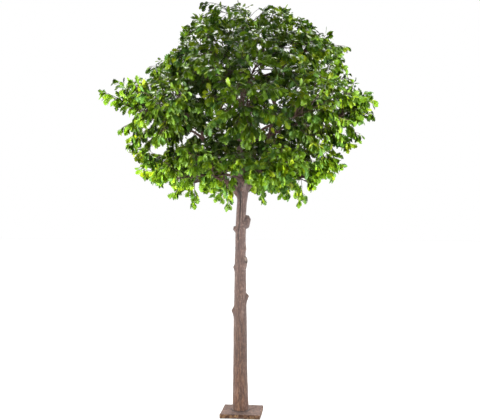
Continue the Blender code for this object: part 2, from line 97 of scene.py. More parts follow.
# Stubs of cut branches: height of the cut face's middle, azimuth, its distance from the axis, its radius,
# the stub's climb and the climb of the line square to its cut face
STUBS = (
    (0.764, 178, 0.057, 0.016, 48, 30),
    (0.862, -5, 0.055, 0.012, 48, 40),
    (1.070, 184, 0.049, 0.011, 45, 35),
    (1.122, -42, 0.053, 0.018, 45, 15),
    (1.345, 187, 0.053, 0.013, 25, 12),
    (1.422, -8, 0.067, 0.015, 55, 30),
    (0.930, 100, 0.055, 0.019, 45, 25),
    (1.240, 62, 0.050, 0.017, 45, 25),
)
STUB_LENGTH = 0.060
STUB_SPREAD = 0.024  # by which a stub's root is wider than its tip

# Main limbs: the root on the trunk's axis, the point that bends the limb, its tip, and the radii of root
# and tip
LIMBS = {
    "leader": ((0.019, 0.0, TRUNK_TOP), (-0.030, 0.012, 1.95), (0.025, 0.000, 2.44), 0.0300, 0.0100),
    "bough_left": ((0.010, 0.0, 1.560), (-0.175, -0.050, 1.720), (-0.330, -0.060, 2.16), 0.0185, 0.0085),
    "bough_left_inner": ((0.012, 0.0, 1.625), (-0.110, 0.075, 1.860), (-0.215, 0.090, 2.38), 0.0180, 0.0080),
    "bough_right": ((0.016, 0.0, 1.590), (0.205, 0.035, 1.780), (0.265, 0.045, 2.38), 0.0190, 0.0080),
    "bough_front": ((0.014, 0.0, 1.600), (0.050, -0.210, 1.760), (0.060, -0.300, 2.22), 0.0175, 0.0080),
    "bough_back": ((0.014, 0.0, 1.570), (0.030, 0.220, 1.740), (0.060, 0.310, 2.24), 0.0175, 0.0080),
}
LIMB_POINTS = 9

# Rings of foliage masses: how many, azimuth of the first, distance of their middles from the axis, height
RINGS = {
    "low": (7, -12, 0.48, 1.76),
    "middle": (8, 0, 0.64, 2.17),
    "high": (6, 0, 0.43, 2.56),
    "top": (1, 20, 0.04, 2.78),
}

# Boughs that carry one mass each
BOUGH_ROOT_RADIUS = 0.0115
BOUGH_ROOT_SHARE = 0.85
BOUGH_TIP_RADIUS = 0.0075
BOUGH_POINTS = 5
BOUGH_ENTRY = 0.62
BOUGH_BEND = (0.30, 0.25)
BOUGH_CLIMB = 0.55
CLIMB_WEIGHT = 0.45
FORK_SPACING = 0.050
BOUGH_GAP = 0.010
SPAN_SAMPLES = 4

# The crown's outline: height, reach of the foliage from the axis on the right side and on the left side
OUTLINE = (
    (1.615, 0.45, 0.52), (1.655, 0.56, 0.66), (1.69, 0.62, 0.74), (1.78, 0.74, 0.8), (1.87, 0.82, 0.86),
    (1.96, 0.85, 0.87), (2.05, 0.95, 0.9), (2.15, 0.98, 0.87), (2.25, 0.98, 0.88), (2.38, 0.9, 0.92),
    (2.47, 0.88, 0.7), (2.56, 0.84, 0.58), (2.65, 0.76, 0.51), (2.73, 0.64, 0.47), (2.82, 0.52, 0.43),
    (2.88, 0.46, 0.35), (2.935, 0.28, 0.22),
)
RAGGED = 0.13  # of the reach, by which the rim's hollows lie back
RAGGED_SCALE = 5.5
CROWN_BOTTOM = OUTLINE[0][0]
CROWN_TOP = OUTLINE[-1][0]
CROWN_HEART = 2.10
CROWN_SHELL = 0.33  # the share of the way from the heart to the rim, below which no twig ends

# Tips that stand out of the round outline
FURTHEST_TIPS = (
    (-1.05, 0.02, 2.365), (-0.93, 0.04, 2.465), (1.01, -0.02, 2.29), (0.97, 0.05, 2.37),
    (0.96, -0.08, 2.15), (0.83, 0.05, 2.68), (0.66, 0.0, 2.72), (0.49, -0.02, 2.86), (-0.255, 0.0, 2.95),
    (0.8, 0.02, 2.44), (-0.79, 0.0, 2.44), (0.37, 0.0, 2.925), (-0.9, -0.05, 2.05), (0.9, 0.05, 1.98),
    (-0.83, -0.05, 1.9), (0.81, -0.04, 1.89), (-0.79, 0.08, 1.83), (-0.74, 0.05, 1.76),
    (0.62, -0.05, 1.74), (0.73, -0.06, 1.885), (0.76, 0.06, 1.83), (0.81, 0.02, 1.93), (0.69, 0.1, 1.77),
    (-0.72, 0.08, 2.42), (-0.64, -0.1, 2.47), (0.5, -0.12, 1.65), (-0.61, -0.05, 1.95),
    (-0.6, -0.14, 1.905), (0.67, -0.1, 1.955), (-0.5, -0.16, 1.965), (-0.43, 0.1, 1.93),
    (0.52, -0.12, 1.95), (0.6, -0.2, 1.88), (-0.72, -0.08, 1.88), (-0.6, -0.22, 1.87),
    (-0.33, -0.06, 1.505), (-0.06, -0.18, 1.51), (0.12, -0.22, 1.56), (0.34, -0.1, 1.52),
    (0.455, 0.04, 1.56), (-0.47, 0.06, 1.6), (0.33, 0.4, 1.56), (-0.22, 0.46, 1.55),
)
TIP_ROOM = 0.085
LOWEST_SPRAY = 1.57  # below it a tip is a single twig
# Further places round each of these tips: share of the way back from it, distance aside
TIP_SPRAYS = ((0.10, 0.045), (0.20, 0.060), (0.30, 0.075))

# Openings through the crown, as seen from in front: middle to the right and height on the plane through the
# axis, half the width and half the height
OPENINGS = (
    (0.105, 2.9, 0.045, 0.05), (-0.125, 2.9, 0.03, 0.035), (0.452, 1.665, 0.036, 0.055),
    (-0.54, 1.63, 0.036, 0.043), (-0.452, 1.69, 0.018, 0.026), (-0.32, 1.645, 0.028, 0.04),
    (0.105, 2.49, 0.048, 0.038), (0.2, 2.48, 0.032, 0.032), (0.34, 2.64, 0.03, 0.032),
    (0.135, 2.655, 0.014, 0.022), (-0.12, 2.225, 0.024, 0.028), (0.155, 2.055, 0.012, 0.018),
    (-0.085, 1.715, 0.018, 0.04), (0.01, 2.3, 0.012, 0.026),
)
CAMERA_DISTANCE = 5.5
CAMERA_HEIGHT = 1.473
DOORWAY = (-0.036, 0.085, 1.655)  # where the trunk shows below the crown: its left, its right and its top
DOORWAY_BACK = 0.05
SPIRE = (-0.020, 0.0, 2.990)  # the crown's topmost tip

# Stems and twigs
STEM_SHARE = 0.40  # of the way from a bough's tip to the rim
OUTLINE_STEP = 0.02
STEM_RADII = (0.0070, 0.0026)
TWIG_RADII = (0.0036, 0.0018)
SHOOT_RADII = (0.0022, 0.0012)
TWIGS_PER_STEM = 14
PLACES_PER_MASS = 86
RIM_PLACES = 0.7  # the share of a mass's places that are moved out to the rim
TWIG_SPREAD = math.radians(50)
SHOOT_SPREAD = math.radians(42)
TWIG_ROOTS = (0.04, 0.99)
SHOOT_ROOTS = (0.15, 0.92)
PLACE_MARGIN = -0.015
DRAWS_PER_PLACE = 110
DRAW_REACH = 0.65
RIM_DEPTH = 0.24
RIM_STEP = 0.01
TWIG_ARCH = 0.10  # rise of a twig's middle over its straight line, of its length
TWIG_POINTS = 5
TWIG_SIDES = 5
STEM_POINTS = 9
STEM_SIDES = 8
TIP_LEAF = 0.070  # by which a twig ends before the place that its last leaf reaches

# Leaves
LEAF_LENGTHS = (0.047, 0.074)
LEAF_SPACING = 0.0132
LEAF_BARE = 0.25  # of a twig that leaves its stem, without leaves
SHOOT_BARE = 0.15
LEAF_AHEAD = 0.85
FIRST_LEAF_AHEAD = 0.5  # by how much more the leaf at a twig's tip points ahead
LEAF_ASIDE = 0.70
LEAF_JITTER = 0.24
FACING_JITTER = 1.15
TIP_LEAVES = 3  # close together at a twig's tip
TIP_SPACING = 0.3  # of their usual spacing
BARE_ROOT = 0.05  # of a twig, that never has leaves
LEAST_TWIG = 0.05
MOST_LEAVES = 21  # of one twig
FEWEST_LEAVES = 3
LAST_LEAF = 0.78  # the size of a twig's last leaf, against those further back
SMALL_LEAVES = 5  # that are smaller than those further back
SAME_GREEN = 0.5  # the share of a spray's leaves that have its green
LEAF_UPWARD = 0.50
LEAF_LIMB_GAP = 0.006
LEAF_MIDDLE = 0.55
TOP_ROOM = 0.02  # by which leaves may stand over the crown's outline
DROOP = (0.45, 0.75)  # at the crown's top, and by how much more lower down
DROOP_HEIGHTS = (2.60, 0.80)  # from which height down, and over which depth, the leaves droop more
SEED = 83


def on_plate(x, y, z):
    """A place on the tree in the plate's frame."""
    turned = Matrix.Rotation(TURN, 3, "Z") @ Vector((x, y, z))
    return turned + Vector((*TRUNK_SHIFT, 0))


def around(azimuth, distance, height):
    """A place on the tree from an azimuth in degrees, counted from the right towards the back."""
    angle = math.radians(azimuth)
    return on_plate(distance * math.cos(angle), distance * math.sin(angle), height)


def from_axis(place):
    """How far right of the tree's axis a place lies, how far behind it, and its distance from it."""
    x, y = place.x - TRUNK_SHIFT[0], place.y - TRUNK_SHIFT[1]
    right = x * math.cos(TURN) + y * math.sin(TURN)
    back = y * math.cos(TURN) - x * math.sin(TURN)
    return right, back, max(math.hypot(x, y), 1e-4)


def between(low, value, high):
    return max(low, min(high, value))


def mixed(a, b, share):
    return a + (b - a) * share


def to_line(place, start, end):
    """The distance from a place to a line, and the share of the line at which it is nearest."""
    run = end - start
    share = between(0.0, (place - start).dot(run) / run.length_squared, 1.0)
    return (place - start - run * share).length, share


def arc(root, bend, tip, t):
    """A point on the curve from root to tip that a third point bends."""
    return root * (1 - t) ** 2 + bend * 2 * t * (1 - t) + tip * t**2


def in_opening(place):
    """Whether a place would cover an opening or the trunk, as seen from in front."""
    right, back, _ = from_axis(place)
    shrunk = CAMERA_DISTANCE / (CAMERA_DISTANCE + back)
    right *= shrunk
    height = CAMERA_HEIGHT + (place.z - CAMERA_HEIGHT) * shrunk
    for middle, level, half_width, half_height in OPENINGS:
        if math.hypot((right - middle) / half_width, (height - level) / half_height) < 1:
            return True
    left, most, top = DOORWAY
    return back < DOORWAY_BACK and left < right < most and height < top


# Limbs as lines


class Limb:
    """A tapering limb, as the points and radii along it, and the curve that they lie on."""

    def __init__(self, root, bend, tip, root_radius, tip_radius, count):
        self.curve = (root, bend, tip)
        self.root_radius = root_radius
        self.tip_radius = tip_radius
        self.points, self.radii = self.line(count)

    def line(self, count):
        """Points along the limb and the radii there."""
        shares = [i / (count - 1) for i in range(count)]
        radii = [mixed(self.root_radius, self.tip_radius, t) for t in shares]
        return [arc(*self.curve, t) for t in shares], radii

    @property
    def tip(self):
        return self.points[-1]

    @property
    def heading(self):
        return (self.points[-1] - self.points[-2]).normalized()

    def spans(self):
        return zip(self.points, self.points[1:], self.radii, self.radii[1:])

    def samples(self):
        for a, b, start_radius, end_radius in self.spans():
            for i in range(SPAN_SAMPLES):
                share = i / SPAN_SAMPLES
                yield a.lerp(b, share), mixed(start_radius, end_radius, share)
        yield self.points[-1], self.radii[-1]

    def gap_to(self, place):
        least = math.inf
        for a, b, start_radius, end_radius in self.spans():
            gap, share = to_line(place, a, b)
            least = min(least, gap - mixed(start_radius, end_radius, share))
        return least

    def gap_between(self, other, skip=0):
        return min(other.gap_to(place) - radius for place, radius in list(self.samples())[skip:])


def main_limbs():
    limbs = {}
    for name, (root, bend, tip, root_radius, tip_radius) in LIMBS.items():
        ends = [on_plate(*place) for place in (root, bend, tip)]
        limbs[name] = Limb(*ends, root_radius, tip_radius, LIMB_POINTS)
    return limbs


def mass_middles():
    middles = {}
    for ring, (count, first, distance, height) in RINGS.items():
        for i in range(count):
            name = f"{ring}_{i + 1}" if count > 1 else ring
            middles[name] = around(first + 360 * i / count, distance, height)
    return middles


def bough_from(limb, k, middle):
    root = limb.points[k]
    tip = root.lerp(middle, BOUGH_ENTRY)
    along = (limb.points[k + 1] - root).normalized()
    bend = root + along * BOUGH_BEND[0] * (tip - root).length + (tip - root) * BOUGH_BEND[1]
    radius = min(BOUGH_ROOT_RADIUS, limb.radii[k] * BOUGH_ROOT_SHARE)
    return Limb(root, bend, tip, radius, BOUGH_TIP_RADIUS, BOUGH_POINTS)


def best_bough(middle, limbs, boughs):
    """The bough that climbs to a mass most naturally without meeting another limb or bough."""
    best, least = None, math.inf
    for limb in limbs:
        for k, point in enumerate(limb.points[1:-1], 1):
            way = middle - point
            climb = way.z / max(math.hypot(way.x, way.y), FORK_SPACING)
            cost = way.length + CLIMB_WEIGHT * abs(climb - BOUGH_CLIMB)
            if cost >= least or any((point - other.points[0]).length < FORK_SPACING for other in boughs):
                continue
            bough = bough_from(limb, k, middle)
            others = [other for other in limbs if other is not limb] + boughs
            if all(bough.gap_between(other, SPAN_SAMPLES) > BOUGH_GAP for other in others):
                best, least = bough, cost
    return best


def make_boughs(limbs, middles):
    boughs = {}
    for mass, middle in middles.items():
        boughs[mass] = best_bough(middle, limbs, list(boughs.values()))
    return boughs


# The crown's room


def crown_reach(height, rightness):
    """How far the crown reaches at a height; rightness is 1 on the right side, -1 on the left."""
    if not CROWN_BOTTOM <= height <= CROWN_TOP:
        return 0.0
    k = min(bisect.bisect_right(OUTLINE, (height, math.inf)), len(OUTLINE) - 1)
    below, above = OUTLINE[k - 1], OUTLINE[k]
    share = (height - below[0]) / (above[0] - below[0])
    _, right, left = (mixed(a, b, share) for a, b in zip(below, above))
    return (right + left) / 2 + (right - left) / 2 * rightness


def outward(place):
    return (place - on_plate(0, 0, CROWN_HEART)).normalized()


def shell_share(place):
    """How far out in the crown a place lies: 0 at its heart, about 1 at its rim."""
    right, _, distance = from_axis(place)
    rise = place.z - CROWN_HEART
    depth = CROWN_TOP - CROWN_HEART if rise > 0 else CROWN_HEART - CROWN_BOTTOM
    return math.hypot(distance / crown_reach(CROWN_HEART, right / distance), rise / depth)


class Space:
    """The room that one mass keeps to: inside the crown's outline, nearer to its own middle than to any
    other."""

    def __init__(self, own, middles):
        self.middle = middles[own]
        self.others = [middle for name, middle in middles.items() if name != own]
        tips = [on_plate(*tip) for tip in FURTHEST_TIPS]
        self.tips = [tip for tip in tips if self.in_cell(tip)]

    def in_cell(self, place, margin=0.0):
        own = (place - self.middle).length_squared
        for other in self.others:
            past = (place - other).length_squared - own
            if past < 2 * margin * (other - self.middle).length:
                return False
        return True

    def in_crown(self, place):
        right, _, distance = from_axis(place)
        hollow = 0.5 + 0.5 * noise.noise(outward(place) * RAGGED_SCALE)
        if distance < crown_reach(place.z, right / distance) * (1 - RAGGED * hollow):
            return True
        return any(to_line(place, self.middle, tip)[0] < TIP_ROOM for tip in self.tips)

    def to_rim(self, place):
        step = outward(place) * RIM_STEP
        for i in range(int(RIM_DEPTH / RIM_STEP)):
            further = place + step * (i + 1)
            if not self.in_cell(further, PLACE_MARGIN):
                return place
            if not self.in_crown(further):
                return further - step
        return place


# Foliage as lines and places


class Twig:
    """A thin limb that rises a little on its way and sinks to its tip."""

    def __init__(self, root, tip, radii, bare, parent=None, parent_share=0.0):
        self.root = root
        self.tip = tip
        self.radii = radii
        self.bare = bare
        self.parent = parent
        self.parent_share = parent_share
        self.end = 0.0  # the share of its length up to its last leaf or shoot
        self.length = (tip - root).length
        self.crest = root.lerp(tip, 0.5) + (UP + outward(tip)) * self.length * TWIG_ARCH

    def at(self, t):
        return arc(self.root, self.crest, self.tip, t)

    def heading(self, t):
        return ((self.crest - self.root) * (1 - t) + (self.tip - self.crest) * t).normalized()


def branch_root(start, end, place, spread, shares):
    """Where a line is left by a branch to a place, at the branches' angle."""
    run = end - start
    aim = run.normalized()
    along = (place - start).dot(aim)
    aside = (place - start - aim * along).length
    return between(shares[0], (along - aside / math.tan(spread)) / run.length, shares[1])


def held_back(root, place):
    """The end of a twig whose last leaf's tip is near a place."""
    run = place - root
    return place - run.normalized() * min(TIP_LEAF, run.length * 0.5)


def droop(place):
    start, depth = DROOP_HEIGHTS
    return DROOP[0] + DROOP[1] * between(0.0, (start - place.z) / depth, 1.0)


class Mass:
    """Foliage that grows from one stem: twigs to places spread through the mass's space, and finer shoots
    from the twigs."""

    def __init__(self, bough, space, seed, stem_end=None):
        self.space = space
        self.rng = random.Random(seed)
        self.start = bough.tip - bough.heading * 0.004
        self.end = stem_end or self.stem_end(bough)
        self.twigs = []
        self.stem = Twig(self.start, self.end, STEM_RADII, 0.0)
        self.stem.end = 1.0 if stem_end else 0.0
        for i, place in enumerate(self.draw_places()):
            self.twigs.append(self.grow_twig(place) if i < TWIGS_PER_STEM else self.grow_shoot(place))

    def stem_end(self, bough):
        middle = self.space.middle
        away = middle - on_plate(0, 0, CROWN_HEART)
        share = 0.0
        while self.space.in_crown(middle + away * share):
            share += OUTLINE_STEP
        return bough.tip.lerp(middle + away * share, STEM_SHARE)

    def draw_places(self):
        """Places in the mass's space, each as far as chance finds from the others."""
        places = list(self.space.tips)
        for tip in self.space.tips:
            for back, aside in TIP_SPRAYS if tip.z > LOWEST_SPRAY else ():
                shift = Vector([self.rng.uniform(-1, 1) for _ in range(3)]).normalized()
                places.append(tip.lerp(self.end, back) + shift * aside)
        while len(places) < PLACES_PER_MASS:
            best, widest = None, 0.0
            for _ in range(DRAWS_PER_PLACE):
                offset = [self.rng.uniform(-DRAW_REACH, DRAW_REACH) for _ in range(3)]
                place = self.space.middle + Vector(offset)
                if not self.space.in_crown(place) or shell_share(place) < CROWN_SHELL:
                    continue
                if not self.space.in_cell(place, PLACE_MARGIN):
                    continue
                gap = min((place - other).length for other in places + [self.start])
                if gap > widest:
                    best, widest = place, gap
            if best:
                outer = len(places) < PLACES_PER_MASS * RIM_PLACES
                places.append(self.space.to_rim(best) if outer else best)
        return places

    def grow_twig(self, place):
        share = branch_root(self.start, self.end, place, TWIG_SPREAD, TWIG_ROOTS)
        root = self.stem.at(share)
        return Twig(root, held_back(root, place), TWIG_RADII, LEAF_BARE, self.stem, share)

    def grow_shoot(self, place):
        """A shoot to a place from the twig that it leaves most easily."""
        best, least = None, math.inf
        for twig in self.twigs[:TWIGS_PER_STEM]:
            share = branch_root(twig.root, twig.tip, place, SHOOT_SPREAD, SHOOT_ROOTS)
            gap = (twig.at(share) - place).length
            if gap < least:
                best, least = (twig, share), gap
        root = best[0].at(best[1])
        return Twig(root, held_back(root, place), SHOOT_RADII, SHOOT_BARE, *best)


# Meshes from arrays


def array(vectors):
    return np.array([tuple(vector) for vector in vectors])


def unit(vectors):
    return vectors / np.linalg.norm(vectors, axis=-1, keepdims=True)


def sweep_frames(points):
    """Directions to the side of a line at each of its points, carried along without twisting."""
    along = unit(np.gradient(points, axis=0))
    side = np.cross(along[0], (0.0, 0.0, 1.0))
    if np.linalg.norm(side) < 0.2:
        side = np.cross(along[0], (0.0, -1.0, 0.0))
    sides = []
    for aim in along:
        side = side - aim * side.dot(aim)
        side = side / np.linalg.norm(side)
        sides.append(side)
    sides = np.array(sides)
    return sides, np.cross(along, sides)


def ring_directions(points, count):
    """(points, count, 3): the directions from a line to the points of rings round it."""
    side, other = sweep_frames(points)
    angles = np.arange(count) * 2 * math.pi / count
    return (
        side[:, None, :] * np.cos(angles)[None, :, None]
        + other[:, None, :] * np.sin(angles)[None, :, None]
    )


# Attributes of the meshes: how deep in the surface a vertex lies (on the plate, its mottles and the painted
# shadow round the trunk's foot), which the materials paint as shade or highlight, and how much it faces
# sideways
HOLLOW = "hollow"
SIDE = "side"


def add_object(name, data):
    made = bpy.data.objects.new(name, data)
    bpy.context.scene.collection.objects.link(made)
    return made


class MeshParts:
    """Vertices, faces and the faces' material numbers, gathered before they become one mesh."""

    def __init__(self):
        self.verts = []
        self.faces = []
        self.marks = []
        self.count = 0

    def add(self, verts, faces, marks):
        self.verts.append(verts)
        self.faces.extend(faces + self.count)
        self.marks.extend(marks)
        self.count += len(verts)

    def add_tube(self, rings):
        """A tube through rings of points, closed by a point in each end."""
        n, count, _ = rings.shape
        ids = np.arange(n * count).reshape(n, count)
        turned = np.roll(ids, -1, axis=1)
        quads = np.stack([ids[:-1], turned[:-1], turned[1:], ids[1:]], axis=-1).reshape(-1, 4)
        ends = np.array([rings[0].mean(axis=0), rings[-1].mean(axis=0)])
        foot, tip = n * count, n * count + 1
        caps = [(foot, b, a, a) for a, b in zip(ids[0], turned[0])]
        caps += [(tip, a, b, b) for a, b in zip(ids[-1], turned[-1])]
        faces = np.vstack([quads, np.array(caps)])
        self.add(np.vstack([rings.reshape(-1, 3), ends]), faces, [0] * len(faces))

    def build(self, name, materials, hollows=None):
        """One object of it all; hollows says how deep in its surface each vertex lies, from 0 to 1."""
        faces = [tuple(dict.fromkeys(face.tolist())) for face in self.faces]
        mesh = bpy.data.meshes.new(name)
        mesh.from_pydata(np.vstack(self.verts).tolist(), [], faces)
        for finish in materials:
            mesh.materials.append(finish)
        mesh.polygons.foreach_set("material_index", self.marks)
        mesh.polygons.foreach_set("use_smooth", [True] * len(faces))
        if hollows is not None:
            mesh.attributes.new(HOLLOW, "FLOAT", "POINT").data.foreach_set("value", hollows)
        mesh.update()
        return add_object(name, mesh)


def noise_at(points, scale, offset=0.0):
    """Noise from -1 to 1 at each of (..., 3) points."""
    flat = (points * np.array(scale) + offset).reshape(-1, 3)
    return np.array([noise.noise(point) for point in flat.tolist()]).reshape(points.shape[:-1])


def noises(points, layers):
    """The sum of noises, each given by its scale, its shift and its height."""
    return sum(height * noise_at(points, scale, shift) for scale, shift, height in layers)


# Materials

# Noise in the materials: stretch, scale, detail and roughness
EVEN = (1, 1, 1)
STREAKS = ((1, 1, 0.14), 110, 5, 0.65)
OCHRE_PATCHES = ((1, 1, 0.30), 24, 3, 0.6)
RED_PATCHES = ((1.3, 1.3, 0.25), 31, 2, 0.6)
BARK_SPECKS = ((1, 1, 0.55), 95, 2, 0.5)
BARK_BUMPS = ((1, 1, 0.16), 190, 6, 0.7)
GRAIN = (EVEN, 260, 3, 0.6)
GRAIN_BUMPS = (EVEN, 300, 4, 0.6)
MOTTLES = (EVEN, 60, 5, 0.65)
PLATE_SPECKS = (EVEN, 120, 2, 0.6)
PLATE_BUMPS = (EVEN, 160, 6, 0.7)

# At which values of the streaks' noise the bark is dark, middle and light
STREAK_STOPS = (0.32, 0.48, 0.66)
# Patches and specks on it: between which values of their noise they set in, how much of their colour they
# take, and for the patches the noise and the colour too
BARK_PATCHES = (
    (OCHRE_PATCHES, 0.52, 0.64, 0.45, (82, 50, 26)),
    (RED_PATCHES, 0.50, 0.62, 0.40, (70, 38, 30)),
)
DARK_SPECKS = (0.46, 0.36, 0.55)
PALE_SPECKS = (0.56, 0.66, 0.35)
PALE_FLECK = (116, 96, 84)
# Where the bark gets greyer, and how much: further up, and across the trunk to its right, where the grey is a
# painted sheen
GREY_UP = 0.72
PAINTED_SHEEN_RIGHT = ((-0.02, 0.04), 0.30)
# Bark of the trunk and of the boughs: dark, middle and light streaks, the grey higher up, from which height
# to which it sets in, the colour of the painted highlight on what stands out (an even tint on the boughs),
# and the sheen
TRUNK_BARK = ((42, 26, 16), (76, 51, 36), (112, 82, 61), (49, 36, 34), (0.05, 1.05), (104, 88, 82), 0.26)
BOUGH_BARK = ((18, 9, 6), (34, 19, 13), (54, 33, 24), (38, 24, 20), (1.5, 2.4), (58, 38, 30), 0.04)
# Between which values of the hollow attribute a colour gets darker or paler, and how much of that it takes:
# on the trunk painted shade in the hollows and a painted highlight on what stands out, on the plate its
# mottles and the painted shadow round the trunk's foot
HOLLOW_DARK = (0.42, 1.0, 0.85)
RISE_PALE = (0.36, 0.0, 0.7)

TWIG_BROWN = (48, 34, 24)
LEAF_FINISH = (0.42, 0.10)  # roughness and specular level

# Painted shade on the bark by height, darkest around the trunk's middle: the share of 1.5 m, and the grey
# that its colour is multiplied by
BARK_SHADED = 1.5
PAINTED_BARK_SHADE = (
    (0.08, (255, 255, 255)),
    (0.16, (235, 233, 232)),
    (0.32, (212, 210, 210)),
    (0.51, (218, 217, 218)),
    (0.70, (241, 240, 242)),
    (0.82, (245, 245, 248)),
)


def linear(value):
    """A colour value from 0 to 255 as the eye sees it, as light."""
    value = value / 255
    return value / 12.92 if value <= 0.04045 else ((value + 0.055) / 1.055) ** 2.4


def lit(colour, light=1.0):
    """A colour as the shader takes it, made lighter or darker by a factor."""
    return (*[linear(c) * light for c in colour], 1)


def new_material(name, roughness, specular, sheen=0.0):
    made = bpy.data.materials.new(name)
    made.use_nodes = True
    shader = made.node_tree.nodes["Principled BSDF"]
    shader.inputs["Roughness"].default_value = roughness
    shader.inputs["Specular IOR Level"].default_value = specular
    shader.inputs["Sheen Weight"].default_value = sheen
    shader.inputs["Sheen Roughness"].default_value = 0.5
    return made


def plain_material(name, colour, roughness, specular, light=1.0):
    made = new_material(name, roughness, specular)
    made.node_tree.nodes["Principled BSDF"].inputs["Base Color"].default_value = lit(colour, light)
    return made


def leaf_materials():
    """A material for each green at each band of painted light and shade, then one for the ribs at each band.
    """
    made = []
    for kind, colours in (("leaf", [colour for colour, _ in GREENS]), ("rib", [RIB_GREEN])):
        for age, _, light in PAINTED_DEPTH_LIGHT:
            for i, colour in enumerate(colours, 1):
                made.append(plain_material(f"{kind}_{age}_{i}", colour, *LEAF_FINISH, light))
    return made


class Nodes:
    """Short calls for a material's node tree."""

    def __init__(self, made):
        self.tree = made.node_tree
        self.shader = self.tree.nodes["Principled BSDF"]
        self.place = self.add("TexCoord", {})["Object"]

    def feed(self, socket, value):
        """Sets a socket, or links another socket to it."""
        if isinstance(value, bpy.types.NodeSocket):
            self.tree.links.new(value, socket)
        else:
            socket.default_value = value

    def add(self, kind, inputs, **settings):
        """The outputs of a new node with these inputs and settings."""
        node = self.tree.nodes.new(f"ShaderNode{kind}")
        for name, value in settings.items():
            setattr(node, name, value)
        for key, value in inputs.items():
            self.feed(node.inputs[key], value)
        return node.outputs

    def noise(self, stretch, scale, detail, rough):
        place = self.add("Mapping", {"Vector": self.place, "Scale": stretch})["Vector"]
        inputs = {"Vector": place, "Scale": scale, "Detail": detail, "Roughness": rough}
        return self.add("TexNoise", inputs)["Fac"]

    def ramp(self, value, stops):
        outputs = self.add("ValToRGB", {"Fac": value})
        elements = outputs[0].node.color_ramp.elements
        while len(elements) < len(stops):
            elements.new(0.5)
        for element, (place, colour) in zip(elements, stops):
            element.position = place
            element.color = lit(colour)
        return outputs["Color"]

    def share(self, value, low, high):
        return self.add("MapRange", {"Value": value, "From Min": low, "From Max": high})["Result"]

    def attribute(self, name):
        return self.add("Attribute", {}, attribute_name=name)["Fac"]

    def along(self, axis, low, high):
        """How far a place lies between two coordinates on an axis."""
        return self.share(self.add("SeparateXYZ", {"Vector": self.place})[axis], low, high)

    def mix(self, factor, a, b, blend="MIX"):
        a, b = (lit(colour) if isinstance(colour, tuple) else colour for colour in (a, b))
        return self.add("Mix", {0: factor, 6: a, 7: b}, data_type="RGBA", blend_type=blend)[2]

    def tinted(self, colour, where, strength, tint):
        """A colour that takes up some of a tint, where a share says."""
        return self.mix(where, colour, self.mix(strength, colour, tint))

    def painted_shade_and_tint(self, colour, dark, pale):
        """A colour that is darker where the hollow attribute is high and paler where it is low: painted shade
        in the trunk's cracks and creases and a painted highlight on its raised bark and ridges, a painted
        shadow round the trunk's foot on the plate, and real mottles on the plate and the dark rim of a cut
        face.
        """
        hollow = self.attribute(HOLLOW)
        for (start, end, strength), tint in ((HOLLOW_DARK, dark), (RISE_PALE, pale)):
            colour = self.tinted(colour, self.share(hollow, start, end), strength, tint)
        return colour

    def finish(self, colour, bumps, depth, strength):
        """Gives the shader its colour and the bumps of a noise."""
        bump = {"Height": self.noise(*bumps), "Distance": depth, "Strength": strength}
        self.feed(self.shader.inputs["Base Color"], colour)
        self.feed(self.shader.inputs["Normal"], self.add("Bump", bump)["Normal"])


def bark_material(name, dark, mid, light, grey, grey_span, pale, sheen):
    """Fibrous bark: streaks along the limb, ochre and reddish patches, specks, and greyer higher up and on
    the right, where the grey is a painted sheen. It carries painted shade by height, darkest around the
    trunk's middle, painted shade in its hollows and a painted highlight on what stands out."""
    made = new_material(name, 0.78, 0.25, sheen)
    nodes = Nodes(made)
    colour = nodes.ramp(nodes.noise(*STREAKS), tuple(zip(STREAK_STOPS, (dark, mid, light))))
    for patches, low, high, strength, tint in BARK_PATCHES:
        colour = nodes.tinted(colour, nodes.share(nodes.noise(*patches), low, high), strength, tint)
    colour = nodes.tinted(colour, nodes.along("Z", *grey_span), GREY_UP, grey)
    # painted sheen: greyer across the trunk towards its right, as the light from the right would make it
    colour = nodes.tinted(colour, nodes.along("X", *PAINTED_SHEEN_RIGHT[0]), PAINTED_SHEEN_RIGHT[1], grey)
    specks = nodes.noise(*BARK_SPECKS)
    for (low, high, strength), tint in ((DARK_SPECKS, dark), (PALE_SPECKS, PALE_FLECK)):
        colour = nodes.tinted(colour, nodes.share(specks, low, high), strength, tint)
    # painted shade: the bark darker around the trunk's middle heights
    shade = nodes.ramp(nodes.along("Z", 0.0, BARK_SHADED), PAINTED_BARK_SHADE)
    colour = nodes.mix(1.0, colour, shade, "MULTIPLY")
    # painted shade in the bark's hollows and a painted highlight on what stands out
    nodes.finish(nodes.painted_shade_and_tint(colour, (14, 8, 6), pale), BARK_BUMPS, 0.0022, 0.7)
    return made


def cut_wood_material():
    """The grey end grain of a cut branch inside its dark rim."""
    made = new_material("cut_wood", 0.85, 0.2)
    nodes = Nodes(made)
    grain = nodes.ramp(nodes.noise(*GRAIN), ((0.35, (44, 36, 32)), (0.65, (72, 62, 56))))
    nodes.finish(nodes.painted_shade_and_tint(grain, (10, 7, 6), (92, 82, 76)), GRAIN_BUMPS, 0.001, 0.6)
    return made


